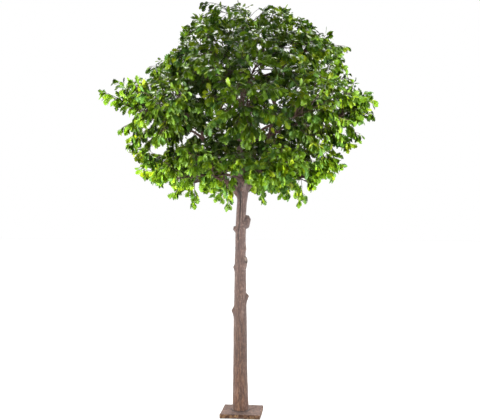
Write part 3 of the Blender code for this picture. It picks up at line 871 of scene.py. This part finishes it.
def plate_material():
    """Bark-coloured coating: greyish brown on top, with ochre patches on the sides."""
    made = new_material("plate_coating", 0.82, 0.08, 0.04)
    nodes = Nodes(made)
    mottled = nodes.noise(*MOTTLES)
    top = nodes.ramp(mottled, ((0.34, (34, 21, 16)), (0.50, (57, 41, 34)), (0.66, (84, 64, 55))))
    side = nodes.ramp(mottled, ((0.34, (42, 27, 19)), (0.50, (78, 56, 42)), (0.66, (112, 88, 62))))
    colour = nodes.mix(nodes.share(nodes.attribute(SIDE), 0.3, 0.8), top, side)
    colour = nodes.mix(nodes.share(nodes.noise(*PLATE_SPECKS), 0.42, 0.34), colour, (34, 24, 20))
    # the plate's mottles and a painted shadow round the trunk's foot
    nodes.finish(nodes.painted_shade_and_tint(colour, (20, 11, 7), (88, 70, 62)), PLATE_BUMPS, 0.003, 0.8)
    return made


# Trunk and boughs with their bark

TRUNK_SIDES = 132
RING_STEPS = (0.0028, 0.0065)  # between the trunk's rings, near a stub and elsewhere
NEAR_STUB = (-0.075, 0.035)  # from how far under a cut face to how far over it
LEADER_POINTS = 110
LEADER_RADII = ((1.60, 0.0400), (1.68, 0.0345), (1.78, 0.0285), (2.34, 0.0120), (2.44, 0.0045))
# How far the trunk is searched for a stub or a limb, how widely they are blended with it, and how far under
# and over its cut face or its root each is looked for
SWELL_STEPS = np.arange(0.0, 0.060, 0.0012)
STUB_BLEND = 0.010
STUB_SPAN = (0.13, 0.06)
LIMB_BLEND = 0.018
LIMB_SPAN = (0.06, 0.10)
LIMB_FOOT = 0.12
# A cut face: how far under its plane the trunk still belongs to it, the least swelling there, and at how many
# of its radii from its middle it counts as the rim
CUT_EDGE = 0.0035
CUT_SWELLING = 0.002
CUT_RIM = 1.5
CUT_NEAREST = 0.02
# The bark's depth on the trunk and its share by radius, and how deep the relief, the creases, the ridges and
# a cut face lie on the scale of the hollow attribute, on which the smooth trunk is LEVEL; the bark paints it
# as shade in the cracks and creases and as a highlight on the ridges
BARK_DEPTH = 0.0016
BARK_FADE = ((0.01, 0.04), (0.35, 1.0))
LEVEL = 0.40
RELIEF_SHADE = 0.16
CREASE_SHADE = 80
RIDGE_HIGHLIGHT = 130
CUT_HOLLOW = 1.6
CUT_DEPTH = 0.0015
# Noises that make the bark's relief: their scale, their shift and how far they stand out or crack it open
RIBS = ((38, 38, 4), 0.0, 0.9)
LUMPS = ((22, 22, 15), 3.0, 0.8)
FIBRES = ((170, 170, 22), 11.0, 0.3)
CRACKS = ((85, 85, 9), 7.0, 0.8)
CRACK_WIDTH = 0.16  # on the scale of their noise
MEAN_LEVEL = 0.1
# Lines along the trunk: height, azimuth, width in radians, depth
CREASES = (
    (
        (1.10, -104, 0.08, 0.0), (1.20, -106, 0.12, 0.002), (1.26, -109, 0.15, 0.004),
        (1.33, -113, 0.20, 0.005), (1.40, -107, 0.20, 0.005), (1.47, -104, 0.22, 0.006),
        (1.55, -112, 0.34, 0.009), (1.62, -118, 0.40, 0.009), (1.72, -120, 0.30, 0.0),
    ),
    ((1.36, -74, 0.05, 0.0), (1.46, -80, 0.07, 0.003), (1.56, -90, 0.07, 0.002), (1.60, -95, 0.05, 0.0)),
    ((1.20, 60, 0.10, 0.0), (1.40, 66, 0.22, 0.006), (1.62, 70, 0.30, 0.008), (1.72, 72, 0.30, 0.0)),
)
RIDGES = (
    ((1.32, -80, 0.05, 0.0), (1.42, -86, 0.06, 0.0022), (1.54, -99, 0.06, 0.003), (1.63, -112, 0.05, 0.0)),
)
LINE_WAVER = 0.12
# Main limbs and boughs: points along each and round it, its length, how much its root widens and over which
# length, the bark's depth, and how far the limb strays from its smooth line
LIMB_FORM = (110, 30, 0.85, 1.35, 0.05, 0.0011, 0.006)
BOUGH_FORM = (44, 18, 0.35, 1.4, 0.03, 0.0007, 0.003)
LIMB_END = ((0.77, 0.85), (1.0, 0.45))  # over which of its length a main limb thins out, and by how much
STRAY_SCALE = (11, 11, 11)
STRAY_FADE = 0.05


def lengths_along(centres):
    return np.concatenate([[0], np.cumsum(np.linalg.norm(np.diff(centres, axis=0), axis=1))])


def bark_relief(along, radii, count):
    """How far the bark stands out, from about -1 to 1: ribs and cracks along the limb, lumps and fibres."""
    angles = np.arange(count) * 2 * math.pi / count
    places = np.empty((len(radii), count, 3))
    places[..., 0] = np.cos(angles) * radii[:, None]
    places[..., 1] = np.sin(angles) * radii[:, None]
    places[..., 2] = along[:, None]
    scale, shift, depth = CRACKS
    cracks = np.clip(1 - np.abs(noise_at(places, scale, shift)) / CRACK_WIDTH, 0, None)
    return noises(places, (RIBS, LUMPS, FIBRES)) - depth * cracks - MEAN_LEVEL


def trunk_heights():
    """Heights of the trunk's rings, close together round the stubs."""
    heights = []
    z = TRUNK_LINE[0][0]
    while z < TRUNK_TOP - 0.02:
        heights.append(z)
        near = any(NEAR_STUB[0] < z - stub[0] < NEAR_STUB[1] for stub in STUBS)
        z += RING_STEPS[0 if near else 1]
    return heights


def trunk_line(leader):
    """Places along the trunk and the leader, and the radii there."""
    knots, drifts, girths = np.array(TRUNK_LINE).T
    heights = trunk_heights()
    trunk = [on_plate(x, 0, z) for x, z in zip(np.interp(heights, knots, drifts), heights)]
    centres = array(trunk + leader.line(LEADER_POINTS)[0][2:])
    z = centres[:, 2]
    upper = np.interp(z, *np.array(LEADER_RADII).T)
    return centres, np.where(z > LEADER_RADII[0][0], upper, np.interp(z, knots, girths))


def cone_depth(places, root, aim, length, root_radius, tip_radius, cut):
    """How far places lie outside a cone with a round foot; cut, a direction, ends it squarely."""
    away = places - root
    along = away @ aim
    nearest = np.clip(along, 0, length if cut is None else None)
    aside = np.linalg.norm(away - nearest[..., None] * aim, axis=-1)
    share = np.clip(along / length, 0, 1)
    outside = aside - mixed(root_radius, tip_radius, share)
    return outside if cut is None else np.maximum(outside, (away - aim * length) @ cut)


def soft_union(a, b, width):
    """The nearer of two depths, rounded where they are about equal."""
    share = np.clip(0.5 + 0.5 * (b - a) / width, 0, 1)
    return b + (a - b) * share - width * share * (1 - share)


def stub_line(height, azimuth, distance, climb, cut_climb):
    """A stub's root, its direction and the direction that its cut face looks in."""
    tip = around(azimuth, distance, height)
    out = (tip - around(azimuth, 0, height)).normalized()
    climbs = (math.radians(climb), math.radians(cut_climb))
    aim, cut = (out * math.cos(angle) + UP * math.sin(angle) for angle in climbs)
    return [np.array(tuple(line)) for line in (tip - aim * STUB_LENGTH, aim, cut)]


def swellings(limbs):
    """The cones that grow out of the trunk for its stubs and limbs: the heights that each lies between, its
    root, its direction, its length, radii and cut, and how widely it is blended with the trunk."""
    for height, azimuth, distance, radius, climb, cut_climb in STUBS:
        root, aim, cut = stub_line(height, azimuth, distance, climb, cut_climb)
        cone = (STUB_LENGTH, radius + STUB_SPREAD, radius, cut)
        yield height - STUB_SPAN[0], height + STUB_SPAN[1], root, aim, cone, STUB_BLEND
    for limb in limbs:
        root, after = limb.points[:2]
        aim = np.array((after - root).normalized())
        cone = (LIMB_FOOT, limb.root_radius * 1.05, limb.root_radius, None)
        yield root.z - LIMB_SPAN[0], root.z + LIMB_SPAN[1], np.array(root), aim, cone, LIMB_BLEND


def swollen_radii(centres, directions, radii, limbs):
    """The trunk's radii, grown out into its stubs and into the roots of its limbs, and how near a cut face's
    middle each place on one is, from 0 to 1."""
    grown = np.repeat(radii[:, None], directions.shape[1], axis=1)
    cut_face = np.zeros(grown.shape)
    for low, high, root, aim, cone, width in swellings(limbs):
        rows = np.where((centres[:, 2] > low) & (centres[:, 2] < high))[0]
        out = grown[rows][..., None] + SWELL_STEPS
        places = centres[rows][:, None, None] + directions[rows][:, :, None] * out[..., None]
        depth = cone_depth(places, root, aim, *cone)
        inside = soft_union(np.broadcast_to(SWELL_STEPS, depth.shape), depth, width) < 0
        last = inside.shape[-1] - 1 - np.argmax(inside[..., ::-1], axis=-1)
        step = np.where(inside.any(axis=-1), SWELL_STEPS[last], 0.0)
        grown[rows] += step
        length, _, tip_radius, cut = cone
        if cut is not None:
            tip = root + aim * length
            ends = centres[rows][:, None] + directions[rows] * grown[rows][..., None] - tip
            flat = (ends @ cut > -CUT_EDGE) & (step > CUT_SWELLING)
            nearness = 1 - np.linalg.norm(ends, axis=-1) / (tip_radius * CUT_RIM)
            cut_face[rows] = np.where(flat, np.clip(nearness, CUT_NEAREST, 1), cut_face[rows])
    return grown, cut_face


def line_depth(lines, centres, directions):
    """The depth of lines along the trunk at each place on it, in metres."""
    azimuths = np.arctan2(directions[..., 1], directions[..., 0]) - TURN
    z = centres[:, 2]
    waver = LINE_WAVER * noise_at(centres, (0, 0, 9))
    depth = 0.0
    for line in lines:
        heights, middles, widths, depths = np.array(line).T
        middle = np.radians(np.interp(z, heights, middles)) + waver
        aside = (azimuths - middle[:, None] + math.pi) % (2 * math.pi) - math.pi
        shape = np.exp(-((aside / np.interp(z, heights, widths)[:, None]) ** 2))
        depth = depth + shape * np.interp(z, heights, depths, 0, 0)[:, None]
    return depth


def make_trunk(limbs, bark, cut_wood):
    """The trunk and the leader as one, with the stubs and the limbs' roots grown out of it."""
    centres, radii = trunk_line(limbs["leader"])
    directions = ring_directions(centres, TRUNK_SIDES)
    side_limbs = [limb for name, limb in limbs.items() if name != "leader"]
    grown, cut_face = swollen_radii(centres, directions, radii, side_limbs)
    crease, ridge = (line_depth(lines, centres, directions) for lines in (CREASES, RIDGES))
    relief = bark_relief(lengths_along(centres), radii, TRUNK_SIDES)
    # painted shade in the cracks and creases and a painted highlight along the ridges
    hollow = LEVEL - RELIEF_SHADE * relief + crease * CREASE_SHADE - ridge * RIDGE_HIGHLIGHT
    hollow = np.clip(np.where(cut_face > 0, 1.0 - CUT_HOLLOW * cut_face, hollow), 0, 1)
    depth = BARK_DEPTH * np.interp(radii, *BARK_FADE)[:, None]
    relief = np.where(cut_face > 0, -CUT_DEPTH, relief * depth) - crease + ridge
    rings = centres[:, None] + directions * grown[..., None]
    parts = MeshParts()
    parts.add_tube(rings + directions * relief[..., None])
    cut_quads = (cut_face > 0)[:-1] & (cut_face > 0)[1:]
    marks = (cut_quads & np.roll(cut_quads, -1, axis=1)).ravel().astype(int).tolist()
    parts.marks[: len(marks)] = marks
    return parts.build("trunk_bark", [bark, cut_wood], [*hollow.ravel().tolist(), LEVEL, LEVEL])


def limb_rings(limb, form):
    """Rings of a limb with its bark, widened at its root and straying a little from its smooth line."""
    count, sides, length, flare, flare_reach, depth, stray = form
    points, radii = limb.line(count)
    lengths = np.linspace(0, length, count)
    radii = np.array(radii) * (1 + (flare - 1) * np.exp(-lengths / flare_reach))
    radii = radii * np.interp(lengths, *LIMB_END)
    centres = array(points)
    along = lengths_along(centres)
    fade = np.clip(np.minimum(along, along[-1] - along) / STRAY_FADE, 0, 1)[:, None]
    strays = np.stack([noise_at(centres, STRAY_SCALE, shift) for shift in (1.0, 5.0, 9.0)], axis=-1)
    centres = centres + strays * stray * fade
    relief = bark_relief(along + centres[0, 0], radii, sides) * depth
    return centres[:, None] + ring_directions(centres, sides) * (radii[:, None] + relief)[..., None]


def make_limbs(limbs, boughs, bark):
    """The main limbs but the leader, and the smaller boughs."""
    parts = MeshParts()
    for name, limb in limbs.items():
        if name != "leader":
            parts.add_tube(limb_rings(limb, LIMB_FORM))
    for bough in boughs.values():
        parts.add_tube(limb_rings(bough, BOUGH_FORM))
    return parts.build("boughs_bark", [bark])


# Leaves

# Half a leaf's outline: distance along the rib, half the width
LEAF_OUTLINE = (
    (0.0, 0.012), (0.08, 0.036), (0.135, 0.11), (0.19, 0.14), (0.228, 0.112), (0.25, 0.062),
    (0.322, 0.196), (0.385, 0.238), (0.43, 0.18), (0.445, 0.098), (0.51, 0.276), (0.582, 0.325),
    (0.638, 0.255), (0.65, 0.135), (0.705, 0.29), (0.775, 0.312), (0.83, 0.225), (0.838, 0.12),
    (0.895, 0.18), (0.968, 0.115),
)
SINUSES = (5, 9, 13, 17)  # the outline's points between the lobes
SINUS_LIFT = 0.014
LOBE_LIFT = -0.010
RIB = (0.00, 0.14, 0.32, 0.52, 0.72, 0.88, 1.00)
RIB_OF_POINT = (1, 1, 1, 1, 1, 2, 2, 2, 2, 3, 3, 3, 3, 4, 4, 4, 4, 5, 5, 5)  # that the outline is joined to
RIB_HALF_WIDTH = 0.011
STALK = 0.16


def leaf_template():
    """A flat leaf of unit length: vertices, faces, and whether a face is of the rib."""
    verts = [(x, sign * RIB_HALF_WIDTH * (1 - 0.75 * x), 0.0) for x in RIB for sign in (1, -1)]
    verts += [(-STALK, sign * RIB_HALF_WIDTH * 0.7, 0.0) for sign in (1, -1)]
    faces = [(2 * i, 2 * i + 1, 2 * i + 3, 2 * i + 2) for i in range(len(RIB) - 1)]
    faces.append((len(verts) - 2, len(verts) - 1, 1, 0))
    marks = [1] * len(faces)
    for side in (0, 1):
        first = len(verts)
        for k, (x, y) in enumerate(LEAF_OUTLINE):
            verts.append((x, (1 - 2 * side) * y, SINUS_LIFT if k in SINUSES else LOBE_LIFT))
        after = [*range(first + 1, len(verts)), 2 * (len(RIB) - 1) + side]
        half = [(2 * RIB_OF_POINT[k] + side, point, first + k) for k, point in enumerate(after)]
        half += [(2 * k + side, 2 * k + 2 + side, first + sinus) for k, sinus in enumerate(SINUSES, 1)]
        half.append((side, first, 2 + side))
        faces += [face[::-1] if side else face for face in half]
        marks += [0] * len(half)
    return np.array(verts), faces, marks


TEMPLATE, TEMPLATE_FACES, TEMPLATE_MARKS = leaf_template()
LEAF_FACES = np.array([face + (face[-1],) * (4 - len(face)) for face in TEMPLATE_FACES])

# Greens of the leaves, as the eye sees them, and how often a spray has each
GREENS = (
    ((54, 77, 4), 20),
    ((66, 91, 5), 22),
    ((41, 63, 5), 14),
    ((84, 104, 7), 14),
    ((94, 108, 9), 6),
    ((51, 80, 23), 10),
    ((41, 66, 23), 7),
    ((68, 93, 25), 6),
)
# Painted light and shade by depth in the crown, leaves lighter out at the rim and darker deep inside: from
# which share of the way to the crown's rim each band starts, and how light its green is
PAINTED_DEPTH_LIGHT = (("rim_lit", 0.95, 1.52), ("grown", 0.70, 1.12), ("inner_shaded", 0.0, 0.38))
DEPTH_LIGHT_JITTER = 0.12
RIB_GREEN = (87, 110, 34)

# How the leaves differ: width, fold along the rib, bend down to the tip, twist, and wave of the edge
LEAF_WAYS = ((0.76, 1.04), (0.10, 0.55), (-0.05, 0.42), (-0.35, 0.35), (-0.05, 0.05))
EDGE_DROP = 0.6
WAVES = 6


class Leaf:
    """One leaf, the material number of its blade and the ways in which it differs from the others."""

    def __init__(self, rng, root, heading, facing, length, finish):
        self.root = root
        self.heading = heading
        self.facing = facing
        self.length = length
        self.finish = finish
        self.ways = [rng.uniform(*limits) for limits in LEAF_WAYS]

    @property
    def tip(self):
        return self.root + self.heading * self.length


def leaf_verts(leaves):
    """All the leaves' vertices at once, each leaf bent, folded and twisted in its own way."""
    width, fold, bend, twist, wave = np.array([leaf.ways for leaf in leaves]).T[..., None]
    lengths = np.array([leaf.length for leaf in leaves])
    x, y, z = (column[None, :] for column in TEMPLATE.T)
    y = y * width
    lift = z + fold * np.abs(y) - EDGE_DROP * y**2 + wave * np.sin(WAVES * x) * np.sign(y)
    angle = twist * x
    across = y * np.cos(angle) - lift * np.sin(angle)
    lift = y * np.sin(angle) + lift * np.cos(angle)
    bend = bend * np.clip(x, 0, None)
    ahead = x * np.cos(bend) + lift * np.sin(bend)
    lift = lift * np.cos(bend) - x * np.sin(bend)
    heading = unit(array(leaf.heading for leaf in leaves))
    side = unit(np.cross(array(leaf.facing for leaf in leaves), heading))
    ways = ((ahead, heading), (across, side), (lift, np.cross(heading, side)))
    local = sum(share[..., None] * way[:, None] for share, way in ways)
    return array(leaf.root for leaf in leaves)[:, None] + local * lengths[:, None, None]


class Dealer:
    """Grows a mass's leaves and deals out their greens by spray."""

    def __init__(self, mass, limbs):
        self.mass = mass
        self.limbs = limbs
        self.rng = mass.rng
        self.leaves = []
        for twig in mass.twigs:
            self.spray(twig)
        for twig in mass.twigs:
            if twig.parent and twig.end:
                twig.parent.end = max(twig.parent.end, twig.parent_share)

    def pick_green(self):
        return self.rng.choices(range(len(GREENS)), [share for _, share in GREENS])[0]

    def jitter(self, most):
        return Vector([self.rng.uniform(-most, most) for _ in range(3)])

    def spray(self, twig):
        """Leaves from a twig's tip back, three of them close together at the tip."""
        green = self.pick_green()
        count = int(twig.length * (1 - twig.bare) / LEAF_SPACING) + TIP_LEAVES - 1
        grown = []
        for i in range(min(count, MOST_LEAVES)):
            back = max(i - TIP_LEAVES + 1, i * TIP_SPACING) * LEAF_SPACING
            t = 1 - back / max(twig.length, LEAST_TWIG)
            if t < BARE_ROOT:
                break
            shade = green if self.rng.random() < SAME_GREEN else self.pick_green()
            leaf = self.new_leaf(twig, t, i, shade)
            if self.has_room(leaf):
                grown.append((t, leaf))
        if len(grown) >= FEWEST_LEAVES:
            twig.end = max(t for t, _ in grown)
            self.leaves += [leaf for _, leaf in grown]

    def new_leaf(self, twig, t, i, green):
        place = twig.at(t)
        aim = twig.heading(t)
        facing = outward(place) + UP * LEAF_UPWARD + self.jitter(FACING_JITTER)
        across = facing.cross(aim).normalized()
        side = (1 if i % 2 else -1) if i else 0
        slant = aim * (LEAF_AHEAD + (0 if i else FIRST_LEAF_AHEAD)) + across * side * LEAF_ASIDE
        heading = (slant - UP * droop(place) + self.jitter(LEAF_JITTER)).normalized()
        size = min(1.0, LAST_LEAF + (1.0 - LAST_LEAF) * i / SMALL_LEAVES)
        length = self.rng.uniform(*LEAF_LENGTHS) * size
        # painted light and shade: leaves lit lighter out at the rim and shaded darker deep inside
        share = shell_share(place) + self.rng.uniform(-DEPTH_LIGHT_JITTER, DEPTH_LIGHT_JITTER)
        age = next(k for k, (_, start, _) in enumerate(PAINTED_DEPTH_LIGHT) if share >= start or k == len(PAINTED_DEPTH_LIGHT) - 1)
        finish = age * len(GREENS) + green
        return Leaf(self.rng, place + heading * STALK * length, heading, facing, length, finish)

    def has_room(self, leaf):
        middle = leaf.root.lerp(leaf.tip, LEAF_MIDDLE)
        if leaf.tip.z > CROWN_TOP + TOP_ROOM or in_opening(middle) or in_opening(leaf.tip):
            return False
        if not self.mass.space.in_crown(middle):
            return False
        return all(limb.gap_to(middle) > LEAF_LIMB_GAP for limb in self.limbs)

    def build(self, name, materials):
        parts = MeshParts()
        verts = leaf_verts(self.leaves)
        for leaf, own in zip(self.leaves, verts):
            ribs = len(PAINTED_DEPTH_LIGHT) * len(GREENS) + leaf.finish // len(GREENS)
            parts.add(own, LEAF_FACES, [ribs if mark else leaf.finish for mark in TEMPLATE_MARKS])
        return parts.build(name, materials)


def twig_rings(twig, count, sides):
    """Rings from a twig's root to its last leaf or shoot."""
    points = array(twig.at(twig.end * i / (count - 1)) for i in range(count))
    return points[:, None] + ring_directions(points, sides) * np.linspace(*twig.radii, count)[:, None, None]


def make_twigs(name, mass, finish):
    parts = MeshParts()
    parts.add_tube(twig_rings(mass.stem, STEM_POINTS, STEM_SIDES))
    for twig in mass.twigs:
        if twig.end:
            parts.add_tube(twig_rings(twig, TWIG_POINTS, TWIG_SIDES))
    return parts.build(name, [finish])


# Base plate

PLATE_BEVEL = 0.003
PLATE_GRID = 0.0034
# Painted shadow on the plate round the trunk's foot
PAINTED_FOOT_SHADOW = (0.7, 0.010)  # how dark the plate is along the trunk's foot, and within which distance
# Noises of the coating, by scale and shift, with how far they reach out of its mean level
SWELLS = ((24, 24, 30), 0.0, 0.0016)
GRIT = ((75, 75, 75), 4.0, 0.0011)
COAT_LEVEL = 0.0017
# Chips along the plate's edge: their noise, the value above which it chips and how deep, and at which shares
# of the half width they set in and are whole
CHIPS = ((30, 30, 30), 8.0)
CHIP_DEPTH = (0.28, 0.012)
CHIP_RIM = (0.90, 0.98)
# The plate's hollow attribute: its mean, and the noise that varies it; the painted shadow round the trunk's
# foot is added to it
PLATE_HOLLOW = 0.39
PLATE_MOTTLES = ((50, 50, 50), 2.0, 0.30)


def weather(mesh, low, high):
    """Roughens the plate's coating and chips it along the edges, and marks its sides and its hollow attribute
    of mottles and a painted shadow round the trunk's foot.
    """
    verts = np.array([vert.co for vert in mesh.vertices])
    normals = np.array([vert.normal for vert in mesh.vertices])
    rough = noises(verts, (SWELLS, GRIT)) - COAT_LEVEL
    start, depth = CHIP_DEPTH
    chips = np.clip(noise_at(verts, *CHIPS) - start, 0, None) * depth
    middle = np.array((low + high) / 2)
    rim = np.abs(verts[:, :2] - middle[:2]).max(axis=1) / ((high.x - low.x) / 2)
    verts += normals * (rough - chips * np.interp(rim, CHIP_RIM, (0, 1)))[:, None]
    verts[:, 2] = np.clip(verts[:, 2], 0.0, None)
    side = 1 - np.clip(np.abs(normals[:, 2]), 0, 1)
    foot = np.linalg.norm(verts[:, :2] - np.array(TRUNK_SHIFT), axis=1) - TRUNK_LINE[1][2]
    # painted shadow: the plate darker close round the trunk's foot
    shade = PAINTED_FOOT_SHADOW[0] * np.exp(-np.clip(foot, 0, None) / PAINTED_FOOT_SHADOW[1])
    hollow = PLATE_HOLLOW + noises(verts, [PLATE_MOTTLES]) + shade
    for name, values in ((SIDE, side), (HOLLOW, np.clip(hollow, 0, 1))):
        mesh.attributes.new(name, "FLOAT", "POINT").data.foreach_set("value", values)
    mesh.vertices.foreach_set("co", verts.astype(np.float32).ravel())


def make_plate(finish):
    """The cast plate, with worn edges and a rough coating."""
    low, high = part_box("base_plate")
    shape = bmesh.new()
    bmesh.ops.create_cube(shape, size=1.0)
    mesh = bpy.data.meshes.new("plate_coated")
    shape.to_mesh(mesh)
    shape.free()
    mesh.transform(Matrix.Translation((low + high) / 2) @ Matrix.Diagonal((*(high - low), 1)))
    plate = add_object("plate_coated", mesh)
    edges = plate.modifiers.new("edges", "BEVEL")
    edges.width = PLATE_BEVEL
    edges.segments = 2
    grid = plate.modifiers.new("grid", "REMESH")
    grid.mode = "VOXEL"
    grid.voxel_size = PLATE_GRID
    graph = bpy.context.evaluated_depsgraph_get()
    plate.data = bpy.data.meshes.new_from_object(plate.evaluated_get(graph))
    plate.modifiers.clear()
    weather(plate.data, low, high)
    plate.data.materials.clear()
    plate.data.materials.append(finish)
    plate.data.shade_smooth()
    return plate


# Stage

# Suns: name, azimuth counted to the right from the camera's side, elevation, spread, strength
SUNS = (
    ("back", 180, 55, 40, 12),
    ("dome", 0, 90, 180, 0.7),
)
SUN_DISTANCE = 6
# Softboxes: name, place, the place it is aimed at, width, height, power
SOFTBOXES = (
    ("left", (-1.65, -0.75, 1.7), (-0.6, 0, 2.0), 0.5, 2.2, 150),
    ("right", (1.65, -0.75, 1.7), (0.6, 0, 2.0), 0.5, 2.2, 140),
    ("low_left", (-1.2, -1.2, 0.7), (-0.3, -0.1, 1.6), 0.6, 0.6, 32),
    ("low_right", (1.2, -1.2, 0.7), (0.3, -0.1, 1.6), 0.6, 0.6, 32),
)
FLOOR_HALF = 30
FLOOR_DROP = 0.0005
FLOOR_COLOUR = (130, 130, 130)
FLOOR_GLOW = 0.5
WHITE = (1, 1, 1, 1)
CAMERA_LENS = 57.1
CAMERA_AIM = -0.014  # to the left of the frame's middle


def make_floor():
    mesh = bpy.data.meshes.new("floor")
    corners = [(x * FLOOR_HALF, y * FLOOR_HALF, 0) for x, y in ((-1, -1), (1, -1), (1, 1), (-1, 1))]
    mesh.from_pydata(corners, [], [(0, 1, 2, 3)])
    finish = plain_material("pale_floor", FLOOR_COLOUR, 0.9, 0.0)
    shader = finish.node_tree.nodes["Principled BSDF"]
    shader.inputs["Emission Color"].default_value = WHITE
    shader.inputs["Emission Strength"].default_value = FLOOR_GLOW
    mesh.materials.append(finish)
    floor = add_object("floor", mesh)
    floor.location.z = -FLOOR_DROP
    return floor


def make_world():
    """A white world that is seen but doesn't light the tree."""
    world = bpy.data.worlds.new("studio")
    bpy.context.scene.world = world
    world.use_nodes = True
    background = world.node_tree.nodes["Background"]
    background.inputs["Color"].default_value = WHITE
    background.inputs["Strength"].default_value = 1.0
    world.cycles_visibility.diffuse = False
    world.cycles_visibility.glossy = False


def make_stage():
    floor = make_floor()
    make_world()
    for name, azimuth, elevation, spread, strength in SUNS:
        turn = math.radians(azimuth) + TURN
        rise = math.radians(elevation)
        away = Vector((math.sin(turn) * math.cos(rise), -math.cos(turn) * math.cos(rise), math.sin(rise)))
        add_light(name, "SUN", away * SUN_DISTANCE, Vector(), strength, angle=math.radians(spread))
    for name, place, aim, width, height, power in SOFTBOXES:
        size = {"shape": "RECTANGLE", "size": width, "size_y": height}
        add_light(name, "AREA", on_plate(*place), on_plate(*aim), power, **size)
    bpy.context.scene.view_settings.view_transform = "Standard"


def add_light(name, kind, place, aim, energy, **settings):
    """A light that doesn't show itself."""
    data = bpy.data.lights.new(name, kind)
    data.energy = energy
    for setting, value in settings.items():
        setattr(data, setting, value)
    light = add_object(name, data)
    light.location = place
    light.rotation_euler = (place - aim).to_track_quat("Z", "Y").to_euler()
    light.visible_camera = False


def make_camera():
    side = Vector((math.cos(TURN), math.sin(TURN), 0))
    back = Vector((math.sin(TURN), -math.cos(TURN), 0))
    data = bpy.data.cameras.new("camera")
    data.lens = CAMERA_LENS
    camera = add_object("camera", data)
    camera.location = side * CAMERA_AIM + UP * CAMERA_HEIGHT + back * CAMERA_DISTANCE
    camera.rotation_euler = (-back).to_track_quat("-Z", "Y").to_euler()
    bpy.context.scene.camera = camera


def main():
    bark = bark_material("bark", *TRUNK_BARK)
    bough_bark = bark_material("bough_bark", *BOUGH_BARK)
    cut_wood = cut_wood_material()
    twig_bark = plain_material("twig_bark", TWIG_BROWN, 0.7, 0.2)
    finishes = leaf_materials()

    make_camera()
    make_stage()
    limbs = main_limbs()
    middles = mass_middles()
    boughs = make_boughs(list(limbs.values()), middles)

    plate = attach(make_plate(plate_material()), "root")
    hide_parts("base_plate")
    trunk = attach(make_trunk(limbs, bark, cut_wood), "root")
    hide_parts("trunk", "leader")
    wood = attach(make_limbs(limbs, boughs, bough_bark), "root")
    carried = [name for name in limbs if name != "leader"] + [f"bough_{name}" for name in middles]
    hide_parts(*carried)

    all_limbs = list(limbs.values()) + list(boughs.values())
    for i, name in enumerate(middles):
        stem_end = on_plate(*SPIRE) if name == "top" else None
        mass = Mass(boughs[name], Space(name, middles), SEED + i, stem_end)
        dealer = Dealer(mass, all_limbs)
        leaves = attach(dealer.build(f"leaves_{name}", finishes), "root")
        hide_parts(f"foliage_{name}")
        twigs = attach(make_twigs(f"twigs_{name}", mass, twig_bark), "root")
        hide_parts(f"foliage_{name}")


main()
